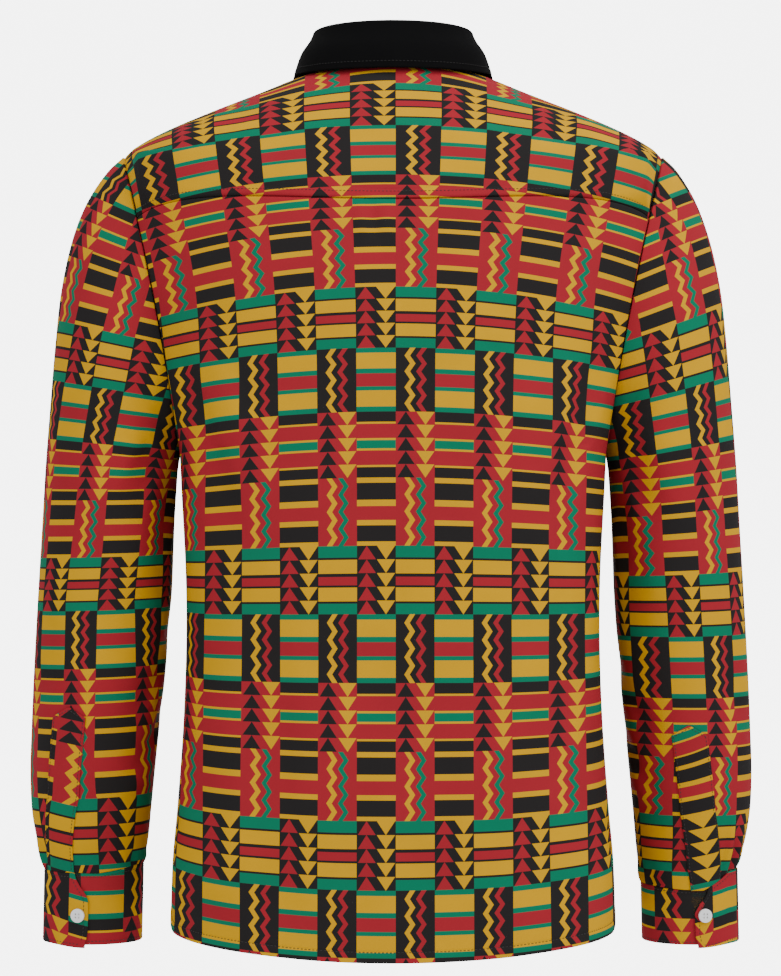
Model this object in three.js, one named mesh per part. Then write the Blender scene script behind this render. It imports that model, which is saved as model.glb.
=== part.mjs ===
import * as THREE from 'three';

// A long-sleeved button shirt in kente print with a black collar, filled out and hollow.
// Millimetres, +Z up. The front faces -Y, the wearer's left is +X, and the origin is the middle
// of the neck's base. Every panel is a wall with an outer and an inner face, and neighbours
// stay a seam's gap apart.

// Cloth
const WALL = 1.5;
const BAND_WALL = 1.3;
const COLLAR_WALL = 1.6;
const STAND_WALL = 1.8;
const CUFF_WALL = 1.8;
const SEAM_GAP = 0.3;
const LAP_GAP = 0.4;
const NECK_GAP = 0.5;

// Torso
const NECK_HALF = 66;
const NECK_BACK = 58;
const NECK_FRONT = 70;
const NECK_TOP_Z = 5;
const SHOULDER_Z = -65;
const ARMPIT_Z = -310;
const ARMHOLE_DEPTH = 60;
const ARMHOLE_MIDDLE_Z = (SHOULDER_Z + ARMPIT_Z) / 2;
const ARMHOLE_HALF = (SHOULDER_Z - ARMPIT_Z) / 2;
const YOKE_FORWARD = 36;
const YOKE_SEAM_Z = -110.5;
const YOKE_SEAM_RISE = 20;
const YOKE_SEAM_FALL = 30;
const HEM_Z = -722;
const HEM_RISE = 15;
const HEM_NOTCH = 9;
const HEM_NOTCH_START = 0.78;
const HOLE_BEND = 5.5;
const FRONT_LAP = 16;
const UNDER_LAP = 14;
const UNDER_EASE_START = 18;
const UNDER_EASE_END = 50;
const PLACKET_WIDTH = 32;
const PLACKET_COLUMNS = 4;

// How square a section is across: at the neck, at the shoulder, at the armpit and below; and how
// quickly it turns at its edge, at the middle of the armhole
const NECK_SQUARE = 2;
const SHOULDER_SQUARE = 2.6;
const BODY_SQUARE = 2.9;
const HOLE_SQUARE = 1.15;
const HOLE_EASE = 3.5;

// Half width and depths by height: half is the side seam, then the armhole, then the shoulder's ridge
const TORSO = [
  { z: -730, half: 186, back: 129, front: 125 },
  { z: -655, half: 184, back: 128, front: 123 },
  { z: -609, half: 180, back: 127, front: 121 },
  { z: -540, half: 175, back: 126, front: 118 },
  { z: -470, half: 172.5, back: 125.5, front: 117 },
  { z: -414, half: 173, back: 126, front: 119 },
  { z: -345, half: 176.5, back: 127, front: 123 },
  { z: -310, half: 178, back: 127.5, front: 124 },
  { z: -240, half: 191.7, back: 127, front: 119 },
  { z: -180, half: 203.5, back: 124, front: 109 },
  { z: -130, half: 213.3, back: 118.5, front: 95 },
  { z: -90, half: 221.1, back: 110.5, front: 78 },
  { z: -65, half: 226, back: 102.5, front: 65 },
  { z: -53, half: 207, back: 98.5, front: 58.5 },
  { z: -42, half: 184.5, back: 94, front: 52 },
  { z: -28, half: 151, back: 86, front: 42 },
  { z: -14, half: 115, back: 76, front: 31 },
  { z: -1, half: 83, back: 65, front: 20 },
  { z: 5, half: 66, back: 58, front: 14 },
];

// A sleeve from the armhole to the cuff: its outer and inner line seen from behind,
// its half depth, and how far its middle swings forward
const SLEEVE = [
  { at: 0, outerX: 226, outerZ: -65, innerX: 178, innerZ: -310, depth: 60, forward: 0 },
  { at: 1, outerX: 240, outerZ: -79, innerX: 178.8, innerZ: -315, depth: 61, forward: 0 },
  { at: 2, outerX: 256, outerZ: -105, innerX: 179.6, innerZ: -320, depth: 61.5, forward: 0 },
  { at: 3, outerX: 268, outerZ: -138, innerX: 180.3, innerZ: -325, depth: 62, forward: 0 },
  { at: 4, outerX: 276.5, outerZ: -178, innerX: 181, innerZ: -331, depth: 62, forward: 0 },
  { at: 5, outerX: 281.5, outerZ: -222, innerX: 181.6, innerZ: -339, depth: 61.5, forward: 1 },
  { at: 6, outerX: 286, outerZ: -275, innerX: 182.6, innerZ: -353, depth: 60.5, forward: 2 },
  { at: 7, outerX: 290, outerZ: -325, innerX: 183.8, innerZ: -373, depth: 59, forward: 3 },
  { at: 8, outerX: 293, outerZ: -375, innerX: 184.8, innerZ: -399, depth: 57.5, forward: 4 },
  { at: 9, outerX: 297, outerZ: -437, innerX: 186.5, innerZ: -437, depth: 55.5, forward: 6 },
  { at: 10, outerX: 301, outerZ: -504, innerX: 192.2, innerZ: -504, depth: 53, forward: 10 },
  { at: 11, outerX: 303, outerZ: -544, innerX: 196.8, innerZ: -545, depth: 51.5, forward: 13 },
  { at: 12, outerX: 304.5, outerZ: -580, innerX: 200.5, innerZ: -580, depth: 50, forward: 16 },
  { at: 13, outerX: 303.8, outerZ: -612, innerX: 203.8, innerZ: -612, depth: 47.5, forward: 19 },
  { at: 14, outerX: 300, outerZ: -639, innerX: 206.5, innerZ: -639, depth: 43.5, forward: 21 },
  { at: 15, outerX: 295.6, outerZ: -655, innerX: 209, innerZ: -655, depth: 39, forward: 22 },
  { at: 16, outerX: 293, outerZ: -664, innerX: 210.5, innerZ: -664, depth: 36.5, forward: 22 },
];
const SLEEVE_RINGS = 22;
const SLEEVE_SIDES = 28;

// Main folds of a sleeve: turn is the angle from the outer line towards the back, at is the
// middle along the sleeve, span its half length, width its half angle, rise its height
const SLEEVE_FOLDS = [
  { turn: 128, at: 4.6, span: 2.4, width: 16, rise: -4 },
  { turn: 104, at: 5.2, span: 2.6, width: 15, rise: 2.5 },
  { turn: 225, at: 10.2, span: 1.4, width: 22, rise: -3 },
  { turn: 12, at: 15.2, span: 1.5, width: 11, rise: 3 },
  { turn: -16, at: 15.2, span: 1.5, width: 11, rise: 3 },
];

// What differs between the sides: how far the outer and the inner line stand off the table's,
// and the placket's angles from the outer line towards the back
const ARMS = [
  { side: 1, name: 'left', outer: 1.8, inner: 0.6, topTurn: 64, middleTurn: 58, footTurn: 42 },
  { side: -1, name: 'right', outer: -1.6, inner: -1, topTurn: 88, middleTurn: 82, footTurn: 66 },
];
const SLEEVE_PLACKET_WIDTH = 29;
const SLEEVE_PLACKET_TIP_Z = -531;
const SLEEVE_PLACKET_POINT = 9;
const CUFF_TOP_Z = -664;
const CUFF_FOOT_Z = -725;
const CUFF_END_TURN = 86;
const CUFF_LAP_TURN = 36;
const CUFF_END_DROP = 2.5;
const CUFF_END_SHARE = 0.12;
const CUFF_LEAN_X = 1.5;
const CUFF_LEAN_Y = -2;
const CUFF_LIFT = CUFF_WALL + LAP_GAP;
const CUFF_BUTTON_TURN = 75;
const CUFF_BUTTON_Z = -700;

// Collar
const STAND_BACK = 33.6;
const STAND_FRONT = 29;
const STAND_LEAN = 5;
const STAND_TUCK = 1;
const STAND_LAP_TURN = 13;
const FOLD_RADIUS = 3;
const FALL_EDGE = [
  { turn: 0, x: 0, y: 72, z: 0.5 },
  { turn: 30, x: 42, y: 62.5, z: 0.5 },
  { turn: 60, x: 71, y: 38, z: 1 },
  { turn: 90, x: 83.5, y: 0, z: 1.5 },
  { turn: 110, x: 84, y: -27, z: -14 },
  { turn: 130, x: 78, y: -55, z: -45 },
  { turn: 150, x: 64, y: -78, z: -78 },
  { turn: 168, x: 47, y: -88, z: -101 },
];
const FALL_END_TURN = 168;

// Buttons
const BUTTON_RADIUS = 5.8;
const BUTTON_THICKNESS = 2.4;
const BUTTON_SIDES = 14;
const FRONT_BUTTONS = 7;
const FRONT_BUTTON_TOP_Z = -128;
const FRONT_BUTTON_PITCH = 82;

const PRINT = new THREE.MeshStandardMaterial({ color: 0xb8402c, roughness: 0.85, metalness: 0 });
const BLACK = new THREE.MeshStandardMaterial({ color: 0x0d0d0e, roughness: 0.9, metalness: 0 });
const WHITE = new THREE.MeshStandardMaterial({ color: 0xe8e8ec, roughness: 0.35, metalness: 0 });

const { cos, sin, hypot, min, max, abs, sign, floor, acos, PI } = Math;
const rad = (degrees) => degrees * PI / 180;
const lerp = (a, b, t) => a + (b - a) * t;
const clamp = (value, low, high) => min(max(value, low), high);
const vec = (x, y, z) => new THREE.Vector3(x, y, z);

function smooth(a, b, x) {
  const t = clamp((x - a) / (b - a), 0, 1);
  return t * t * (3 - 2 * t);
}

// A smooth bump, 1 in the middle and 0 past its half span
function bump(x, span) {
  const t = clamp(abs(x) / span, 0, 1);
  return (1 - t * t) ** 2;
}

// A smooth curve through one column of a table
function track(rows, along, column) {
  const slopes = rows.map((row, i) => {
    const before = rows[max(i - 1, 0)];
    const after = rows[min(i + 1, rows.length - 1)];
    return (after[column] - before[column]) / (after[along] - before[along]);
  });
  return (place) => {
    const x = clamp(place, rows[0][along], rows[rows.length - 1][along]);
    let i = 0;
    while (i < rows.length - 2 && x > rows[i + 1][along]) i += 1;
    const gap = rows[i + 1][along] - rows[i][along];
    const t = (x - rows[i][along]) / gap;
    const rise = rows[i + 1][column] - rows[i][column];
    const a = slopes[i] * gap - rise;
    const b = rise - slopes[i + 1] * gap;
    return rows[i][column] + rise * t + t * (1 - t) * (a * (1 - t) + b * t);
  };
}

// The parameter where a test that holds at a turns false on the way to b
function edgeOf(test, a, b) {
  let inside = a;
  let outside = b;
  for (let step = 0; step < 40; step += 1) {
    const middle = (inside + outside) / 2;
    if (test(middle)) inside = middle;
    else outside = middle;
  }
  return inside;
}

// Torso sections, from the middle to the ridge, armhole or side seam

const sideHalf = track(TORSO.filter((row) => row.z <= ARMPIT_Z), 'z', 'half');
const ridgeHalf = track(TORSO.filter((row) => row.z >= SHOULDER_Z), 'z', 'half');
const ARMPIT_HALF = sideHalf(ARMPIT_Z);
const SHOULDER_HALF = ridgeHalf(SHOULDER_Z);

// The armhole slants from the shoulder to the armpit and bends inwards between them
function torsoHalf(z) {
  if (z >= SHOULDER_Z) return ridgeHalf(z);
  if (z <= ARMPIT_Z) return sideHalf(z);
  const t = (z - ARMPIT_Z) / (2 * ARMHOLE_HALF);
  return lerp(ARMPIT_HALF, SHOULDER_HALF, t) - HOLE_BEND * 4 * t * (1 - t);
}

const torsoBack = track(TORSO, 'z', 'back');
const torsoFront = track(TORSO, 'z', 'front');

function armholeDepth(z) {
  const t = (z - ARMHOLE_MIDDLE_Z) / ARMHOLE_HALF;
  return abs(t) < 1 ? ARMHOLE_DEPTH * Math.sqrt(1 - t * t) : 0;
}

function squareness(z) {
  const wide = z > SHOULDER_Z ? lerp(SHOULDER_SQUARE, NECK_SQUARE, smooth(SHOULDER_Z, NECK_TOP_Z, z))
    : lerp(BODY_SQUARE, SHOULDER_SQUARE, smooth(ARMPIT_Z, SHOULDER_Z, z));
  const t = clamp((z - ARMHOLE_MIDDLE_Z) / ARMHOLE_HALF, -1, 1);
  const end = t > 0 ? NECK_SQUARE : wide;
  return { wide, round: lerp(HOLE_SQUARE, end, abs(t) ** HOLE_EASE) };
}

const SECTION_STEPS = 80;
const sections = new Map();

function section(side, z) {
  const key = `${side} ${z.toFixed(3)}`;
  if (sections.has(key)) return sections.get(key);
  const half = torsoHalf(z);
  const deep = side > 0 ? torsoBack(z) : torsoFront(z);
  const hole = armholeDepth(z);
  const { wide, round } = squareness(z);
  const points = [];
  for (let k = 0; k <= SECTION_STEPS; k += 1) {
    const turn = rad(90 * k / SECTION_STEPS);
    const x = half * sin(turn) ** (2 / wide);
    const y = hole + (deep - hole) * max(cos(turn), 0) ** (2 / round);
    const along = k ? points[k - 1].along + hypot(x - points[k - 1].x, y - points[k - 1].y) : 0;
    points.push({ x, y, along });
  }
  sections.set(key, points);
  return points;
}

const reach = (side, z) => section(side, z)[SECTION_STEPS].along;

// A point of the torso at a share of the way round from the middle (-1 to 1) and a height
function torso(side, share, z, inset = 0) {
  const points = section(side, z);
  const along = abs(share) * points[SECTION_STEPS].along;
  let k = 0;
  while (k < SECTION_STEPS - 1 && along > points[k + 1].along) k += 1;
  const a = points[k];
  const b = points[k + 1];
  const t = (along - a.along) / (b.along - a.along);
  return vec(lerp(a.x, b.x, t) * (sign(share) || 1), side * (lerp(a.y, b.y, t) - inset), z);
}

// The share at which a section passes a given width
function shareAt(side, x, z) {
  return edgeOf((share) => torso(side, share, z).x < x, 0, 1);
}

// Height of the upper torso over a point of the plan
function topHeight(x, y) {
  const covers = (z) => {
    const half = torsoHalf(z);
    if (abs(x) > half) return false;
    const deep = y > 0 ? torsoBack(z) : torsoFront(z);
    const hole = armholeDepth(z);
    const { wide, round } = squareness(z);
    return abs(y) <= hole + (deep - hole) * (1 - (abs(x) / half) ** wide) ** (1 / round);
  };
  let z = NECK_TOP_Z;
  while (!covers(z) && z > ARMPIT_Z) z -= 2;
  return z === NECK_TOP_Z ? z : edgeOf(covers, z, z + 2);
}

// The neck's oval in plan, by the angle from the centre back
function neckOval(turn, grow = 0) {
  const c = cos(rad(turn));
  return { x: (NECK_HALF + grow) * sin(rad(turn)), y: ((c > 0 ? NECK_BACK : NECK_FRONT) + grow) * c };
}

const outsideNeck = (x, y) => hypot(x / (NECK_HALF + NECK_GAP),
  y / ((y > 0 ? NECK_BACK : NECK_FRONT) + NECK_GAP)) >= 1;

const seamHeight = (share) => YOKE_SEAM_Z + YOKE_SEAM_RISE * share ** 2 - YOKE_SEAM_FALL * share ** 4;

function hemHeight(share) {
  const notch = smooth(HEM_NOTCH_START, 1, abs(share)) * HEM_NOTCH;
  return HEM_Z + HEM_RISE * sin(rad(90 * share)) ** 2 + notch;
}

// Walls

function faceUp(grid, i, j, closed) {
  const rows = grid.length;
  const columns = grid[0].length;
  const left = closed ? (j + columns - 1) % columns : max(j - 1, 0);
  const right = closed ? (j + 1) % columns : min(j + 1, columns - 1);
  const across = grid[i][right].clone().sub(grid[i][left]);
  const along = grid[min(i + 1, rows - 1)][j].clone().sub(grid[max(i - 1, 0)][j]);
  return across.cross(along).normalize();
}

// A closed solid between an outer and an inner grid of the same shape
function solid(outer, inner, closed = false) {
  const rows = outer.length;
  const columns = outer[0].length;
  const places = [...outer.flat(), ...inner.flat()];
  const layer = rows * columns;
  const index = [];
  const quad = (a, b, c, d) => index.push(a, b, c, a, c, d);
  const at = (i, j) => i * columns + (j % columns);
  const across = closed ? columns : columns - 1;
  for (let i = 0; i < rows - 1; i += 1) {
    for (let j = 0; j < across; j += 1) {
      const [a, b, c, d] = [at(i, j), at(i, j + 1), at(i + 1, j + 1), at(i + 1, j)];
      quad(a, b, c, d);
      quad(layer + d, layer + c, layer + b, layer + a);
    }
  }
  for (let j = 0; j < across; j += 1) {
    const last = rows - 1;
    quad(at(0, j + 1), at(0, j), layer + at(0, j), layer + at(0, j + 1));
    quad(at(last, j), at(last, j + 1), layer + at(last, j + 1), layer + at(last, j));
  }
  for (let i = 0; i < rows - 1 && !closed; i += 1) {
    const last = columns - 1;
    quad(at(i, 0), at(i + 1, 0), layer + at(i + 1, 0), layer + at(i, 0));
    quad(at(i + 1, last), at(i, last), layer + at(i, last), layer + at(i + 1, last));
  }
  let volume = 0;
  for (let t = 0; t < index.length; t += 3) {
    const [a, b, c] = [places[index[t]], places[index[t + 1]], places[index[t + 2]]];
    volume += a.dot(b.clone().cross(c));
  }
  if (volume < 0) index.reverse();
  const geometry = new THREE.BufferGeometry();
  const numbers = places.flatMap((place) => place.toArray());
  geometry.setAttribute('position', new THREE.Float32BufferAttribute(numbers, 3));
  geometry.setIndex(index);
  geometry.computeVertexNormals();
  return geometry;
}

// Moves each point of a grid along its own normal; out is +1 where the grid's normals face outwards
function moved(grid, distance, out, closed = false, hold = (move) => move) {
  return grid.map((row, i) => row.map((point, j) => {
    const move = faceUp(grid, i, j, closed).multiplyScalar(distance * out);
    return point.clone().add(hold(move, i, j));
  }));
}

const counted = (count, make) => Array.from({ length: count }, (_, k) => make(k));
const grid = (rows, columns, place) => (
  counted(rows + 1, (i) => counted(columns + 1, (j) => place(i, j))));

// Which way a panel's own normals face, found at its middle
function outward(panel, from) {
  const i = floor(panel.length / 2);
  const j = floor(panel[0].length / 2);
  return sign(faceUp(panel, i, j, false).dot(panel[i][j].clone().sub(from))) || 1;
}

const CORE = vec(0, 0, -300);

function wall(panel, thickness, hold) {
  return solid(panel, moved(panel, -thickness, outward(panel, CORE), false, hold));
}

function lying(panel, thickness) {
  const out = outward(panel, CORE);
  return solid(moved(panel, LAP_GAP + thickness, out), moved(panel, LAP_GAP, out));
}

const shirt = new THREE.Group();

function add(name, geometry, material) {
  const mesh = new THREE.Mesh(geometry, material);
  mesh.name = name;
  shirt.add(mesh);
  return mesh;
}

// Heights of a panel's rows: even below the armpit, then at even turns of the armhole's ellipse,
// as far round it as the yoke seam
const LOWER_ROWS = 9;
const UPPER_ROWS = 9;
const TOP_TURN = 118;

function rowHeight(i, foot, top) {
  if (i <= LOWER_ROWS) return lerp(foot, ARMPIT_Z, i / LOWER_ROWS);
  const turn = rad(TOP_TURN * (i - LOWER_ROWS) / UPPER_ROWS);
  return lerp(ARMPIT_Z, top, (1 - cos(turn)) / (1 - cos(rad(TOP_TURN))));
}

const edgeShare = (side, z) => 1 - SEAM_GAP / 2 / reach(side, z);

function backPanel() {
  const columns = 2 * YOKE_COLUMNS;
  return grid(LOWER_ROWS + UPPER_ROWS, columns, (i, j) => {
    const share = lerp(-1, 1, j / columns);
    const z = rowHeight(i, hemHeight(share), seamHeight(share) - SEAM_GAP / 2);
    return torso(1, share * edgeShare(1, z), z);
  });
}

// The yoke in plan: columns run from the back seam to the neck's edge or to the front seam
const NECK_COLUMNS = 7;
const SEAM_COLUMNS = 5;
const YOKE_COLUMNS = NECK_COLUMNS + SEAM_COLUMNS;
const YOKE_ROWS = 10;
const CORNER_TURN = acos(-YOKE_FORWARD / NECK_FRONT) * 180 / PI;
const CORNER_X = neckOval(CORNER_TURN).x;
const HOLE_FRONT_Z = ARMHOLE_MIDDLE_Z
  + ARMHOLE_HALF * Math.sqrt(1 - (YOKE_FORWARD / ARMHOLE_DEPTH) ** 2);

const seamX = (k) => lerp(CORNER_X, torsoHalf(HOLE_FRONT_Z), k / SEAM_COLUMNS);

function yokePanel() {
  const backTurn = acos((seamHeight(1) - ARMHOLE_MIDDLE_Z) / ARMHOLE_HALF);
  const frontTurn = -acos((HOLE_FRONT_Z - ARMHOLE_MIDDLE_Z) / ARMHOLE_HALF);
  const place = (i, k) => {
    const t = i / YOKE_ROWS;
    if (k === YOKE_COLUMNS) {
      const turn = lerp(backTurn, frontTurn, t);
      const z = ARMHOLE_MIDDLE_Z + ARMHOLE_HALF * cos(turn);
      const y = max(ARMHOLE_DEPTH * sin(turn), SEAM_GAP / 2 - YOKE_FORWARD);
      return vec(torsoHalf(z) - SEAM_GAP / 2, y, i === 0 ? z + SEAM_GAP / 2 : z);
    }
    const share = k / YOKE_COLUMNS;
    const start = torso(1, share, seamHeight(share) + SEAM_GAP / 2);
    if (i === 0) return start;
    const end = k <= NECK_COLUMNS ? neckOval(CORNER_TURN * k / NECK_COLUMNS, NECK_GAP)
      : { x: seamX(k - NECK_COLUMNS), y: -YOKE_FORWARD };
    const y = max(end.y, -YOKE_FORWARD + SEAM_GAP / 2);
    const plan = { x: lerp(start.x, end.x, t), y: lerp(start.y, y, t) };
    return vec(plan.x, plan.y, topHeight(plan.x, plan.y));
  };
  return grid(YOKE_ROWS, 2 * YOKE_COLUMNS, (i, j) => {
    const k = j - YOKE_COLUMNS;
    const point = place(i, abs(k));
    return k < 0 ? vec(-point.x, point.y, point.z) : point;
  });
}

// Cut edges: at the neck a wall goes straight down, at a seam its end face stays level with the
// cut, so that no inner face reaches into the neighbour
const DOWN = vec(0, 0, -WALL);
const level = (move) => vec(move.x, move.y, 0);
const upright = (move) => vec(move.x, 0, move.z);

// A front: columns from its own edge past the middle to the side seam. The under front lies
// deeper by a wall and a gap where the other laps over it
const LAP_COLUMNS = 5;

function frontPanel(side, over) {
  const lap = over ? FRONT_LAP : UNDER_LAP;
  const depth = over ? 0 : WALL + 2 * LAP_GAP;
  const columns = LAP_COLUMNS + SEAM_COLUMNS;
  const full = (z) => reach(-1, z) * edgeShare(-1, z);
  const shareOf = (f, z) => lerp(-lap, full(z), f) / reach(-1, z);
  const pointOf = (f, z) => {
    const share = shareOf(f, z);
    const inset = depth * (1 - smooth(UNDER_EASE_START, UNDER_EASE_END, share * reach(-1, z)));
    return torso(-1, share, z, inset);
  };
  const fractionOf = (k) => {
    const x = seamX(k);
    const z = k === SEAM_COLUMNS ? HOLE_FRONT_Z : topHeight(x, -YOKE_FORWARD);
    const along = min(shareAt(-1, x, z) * reach(-1, z), full(z));
    return (along + lap) / (full(z) + lap);
  };
  const corner = fractionOf(0);
  const fraction = (j) => (j <= LAP_COLUMNS ? corner * j / LAP_COLUMNS : fractionOf(j - LAP_COLUMNS));
  const topOf = (f) => edgeOf((z) => {
    const point = pointOf(f, z);
    return outsideNeck(point.x, point.y) && -point.y >= YOKE_FORWARD + SEAM_GAP / 2;
  }, ARMPIT_Z, NECK_TOP_Z);
  const fractions = counted(columns + 1, fraction);
  const tops = fractions.map(topOf);
  return grid(LOWER_ROWS + UPPER_ROWS, columns, (i, j) => {
    const foot = hemHeight(shareOf(fractions[j], HEM_Z));
    const z = rowHeight(i, foot, tops[j]);
    const point = pointOf(fractions[j], z);
    return side > 0 ? point : vec(-point.x, point.y, point.z);
  });
}

const PANEL_ROWS = LOWER_ROWS + UPPER_ROWS;

function cutFront(move, i, j) {
  if (i < PANEL_ROWS) return move;
  return j <= LAP_COLUMNS ? DOWN : upright(move);
}

function cutYoke(move, i, j) {
  if (i === 0) return level(move);
  if (i < YOKE_ROWS) return move;
  return abs(j - YOKE_COLUMNS) <= NECK_COLUMNS ? DOWN : upright(move);
}

const cutBack = (move, i) => (i === PANEL_ROWS ? level(move) : move);

// The placket follows the over front's own form, down its edge
function placketPanel() {
  const columns = PLACKET_COLUMNS;
  const half = PLACKET_WIDTH / 2;
  const topOf = (along) => edgeOf((z) => {
    const point = torso(-1, along / reach(-1, z), z);
    return outsideNeck(point.x, point.y);
  }, ARMPIT_Z, NECK_TOP_Z);
  return grid(LOWER_ROWS + UPPER_ROWS, columns, (i, j) => {
    const along = lerp(-half, half, j / columns);
    const z = rowHeight(i, HEM_Z, topOf(along) - SEAM_GAP);
    return torso(-1, along / reach(-1, z), z);
  });
}

// Sleeves

const sleeveTrack = Object.fromEntries(['outerX', 'outerZ', 'innerX', 'innerZ', 'depth', 'forward']
  .map((column) => [column, track(SLEEVE, 'at', column)]));
const SLEEVE_END = SLEEVE.length - 1;

function sleeveFold(at, turn) {
  return SLEEVE_FOLDS.reduce((sum, fold) => {
    const away = ((turn - fold.turn + 540) % 360) - 180;
    return sum + fold.rise * bump(at - fold.at, fold.span) * bump(away, fold.width);
  }, 0);
}

// A point of an arm's sleeve, drawn on the left: at is the way along, turn the angle from the
// outer line to the back, grow how far it lies off the cloth
function sleeve(arm, at, turn, grow = 0) {
  const outer = vec(sleeveTrack.outerX(at) + arm.outer * smooth(0, 3, at), 0, sleeveTrack.outerZ(at));
  const inner = vec(sleeveTrack.innerX(at) + arm.inner * smooth(8, 12, at), 0, sleeveTrack.innerZ(at));
  const swell = grow + sleeveFold(at, turn);
  const half = outer.distanceTo(inner) / 2 + swell;
  const point = outer.clone().add(inner).multiplyScalar(0.5)
    .addScaledVector(outer.sub(inner).normalize(), half * cos(rad(turn)));
  point.x -= HOLE_BEND * sin(rad(turn)) ** 2 * (1 - smooth(0, 2.5, at));
  point.y = (sleeveTrack.depth(at) + swell) * sin(rad(turn)) - sleeveTrack.forward(at);
  return point;
}

const mirrored = (panel, side) => panel.map((row) => row.map((p) => vec(p.x * side, p.y, p.z)));

const HOLE_NORMAL = vec(ARMHOLE_HALF * 2, 0, ARMPIT_HALF - SHOULDER_HALF).normalize();

function sleeveWall(arm) {
  const panel = grid(SLEEVE_RINGS, SLEEVE_SIDES - 1, (i, j) => {
    const at = SLEEVE_END * i / SLEEVE_RINGS;
    const point = sleeve(arm, at, 360 * j / SLEEVE_SIDES);
    if (i === 0) point.addScaledVector(HOLE_NORMAL, SEAM_GAP);
    if (i === SLEEVE_RINGS) point.z += SEAM_GAP;
    return point;
  });
  const middle = floor(SLEEVE_RINGS / 2);
  const out = sign(faceUp(panel, middle, 0, true).x);
  const hold = (move, i) => {
    if (i === 0) move.addScaledVector(HOLE_NORMAL, -min(move.dot(HOLE_NORMAL), 0));
    if (i === SLEEVE_RINGS) move.z = 0;
    return move;
  };
  const inner = moved(panel, -WALL, out, true, hold);
  return solid(mirrored(panel, arm.side), mirrored(inner, arm.side), true);
}

// The way along a sleeve at which its back is at a given height
function alongAt(arm, z, turn) {
  return edgeOf((at) => sleeve(arm, at, turn).z > z, 8, SLEEVE_END);
}

function sleevePlacket(arm) {
  const rows = 12;
  const columns = 4;
  const panel = grid(rows, columns, (i, j) => {
    const t = i / rows;
    const aside = j / columns - 0.5;
    const foot = CUFF_TOP_Z + SEAM_GAP * 3;
    const top = SLEEVE_PLACKET_TIP_Z - SLEEVE_PLACKET_POINT * abs(aside) * 2;
    const z = lerp(top, foot, t);
    const turn = t < 0.5 ? lerp(arm.topTurn, arm.middleTurn, t * 2)
      : lerp(arm.middleTurn, arm.footTurn, t * 2 - 1);
    const at = alongAt(arm, z, turn);
    const degree = sleeve(arm, at, turn + 1).distanceTo(sleeve(arm, at, turn));
    return sleeve(arm, at, turn - aside * SLEEVE_PLACKET_WIDTH / degree);
  });
  const middle = panel[rows / 2][columns / 2];
  const out = outward(panel, vec(middle.x, 0, middle.z));
  const outer = moved(panel, LAP_GAP + BAND_WALL, out);
  const inner = moved(panel, LAP_GAP, out);
  return solid(mirrored(outer, arm.side), mirrored(inner, arm.side));
}

// A cuff is one band whose over end lies on its under end at the back of the wrist

function cuffPoint(arm, turn, z, grow) {
  const end = sleeve(arm, SLEEVE_END, turn, grow);
  const lean = (z - CUFF_TOP_Z) / (CUFF_FOOT_Z - CUFF_TOP_Z);
  return vec(end.x + CUFF_LEAN_X * lean, end.y + CUFF_LEAN_Y * lean, z);
}

// The over end starts further round at its top and is a little rounded at its foot
const overEnd = (down) => CUFF_END_TURN - 16 * (1 - smooth(0, 0.4, down)) - 3 * smooth(0.75, 1, down);

function cuffWall(arm) {
  const rows = 4;
  const columns = 34;
  const sweep = 360 + CUFF_LAP_TURN;
  const place = (grow) => grid(rows, columns, (i, j) => {
    const down = i / rows;
    const share = j / columns;
    const turn = lerp(overEnd(down), CUFF_END_TURN - sweep, share);
    const lapped = CUFF_END_TURN - turn;
    const raised = CUFF_LIFT * (1 - smooth(CUFF_LAP_TURN + 4, CUFF_LAP_TURN + 60, lapped));
    const drop = CUFF_END_DROP * (1 - smooth(0, CUFF_END_SHARE, share));
    return cuffPoint(arm, turn, lerp(CUFF_TOP_Z, CUFF_FOOT_Z - drop, down), grow + raised);
  });
  return solid(mirrored(place(0), arm.side), mirrored(place(-CUFF_WALL), arm.side));
}

// Collar stand and fall

const standFoot = (turn) => {
  const plan = neckOval(turn, NECK_GAP);
  return topHeight(plan.x, plan.y);
};

function standPoint(turn, up, grow) {
  const front = (1 - cos(rad(turn))) / 2;
  const height = lerp(STAND_BACK, STAND_FRONT, front);
  const wrapped = abs(turn) > 180 ? 360 - abs(turn) : abs(turn);
  const plan = neckOval(turn, -NECK_GAP + grow - STAND_LEAN * up * front);
  return vec(plan.x, plan.y, standFoot(wrapped) - STAND_TUCK + height * up);
}

function standWall() {
  const rows = 4;
  const columns = 40;
  const place = (grow) => grid(rows, columns, (i, j) => {
    const turn = lerp(-180 - STAND_LAP_TURN, 180 + STAND_LAP_TURN, j / columns);
    const under = 1 - smooth(-180 + STAND_LAP_TURN + 2, -180 + STAND_LAP_TURN + 26, turn);
    return standPoint(turn, i / rows, grow - under * (STAND_WALL + LAP_GAP));
  });
  return solid(place(0), place(-STAND_WALL));
}

// The fall in section: over the stand's top edge, round the fold and down to its own edge
const edgeTrack = Object.fromEntries(['x', 'y', 'z']
  .map((column) => [column, track(FALL_EDGE, 'turn', column)]));
const FOLD_ANGLES = [180, 120, 60, 0];
const FOLD_RISE = 0.9;
const FALL_STEPS = 5;
const FALL_BOW = 2.5;

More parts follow.
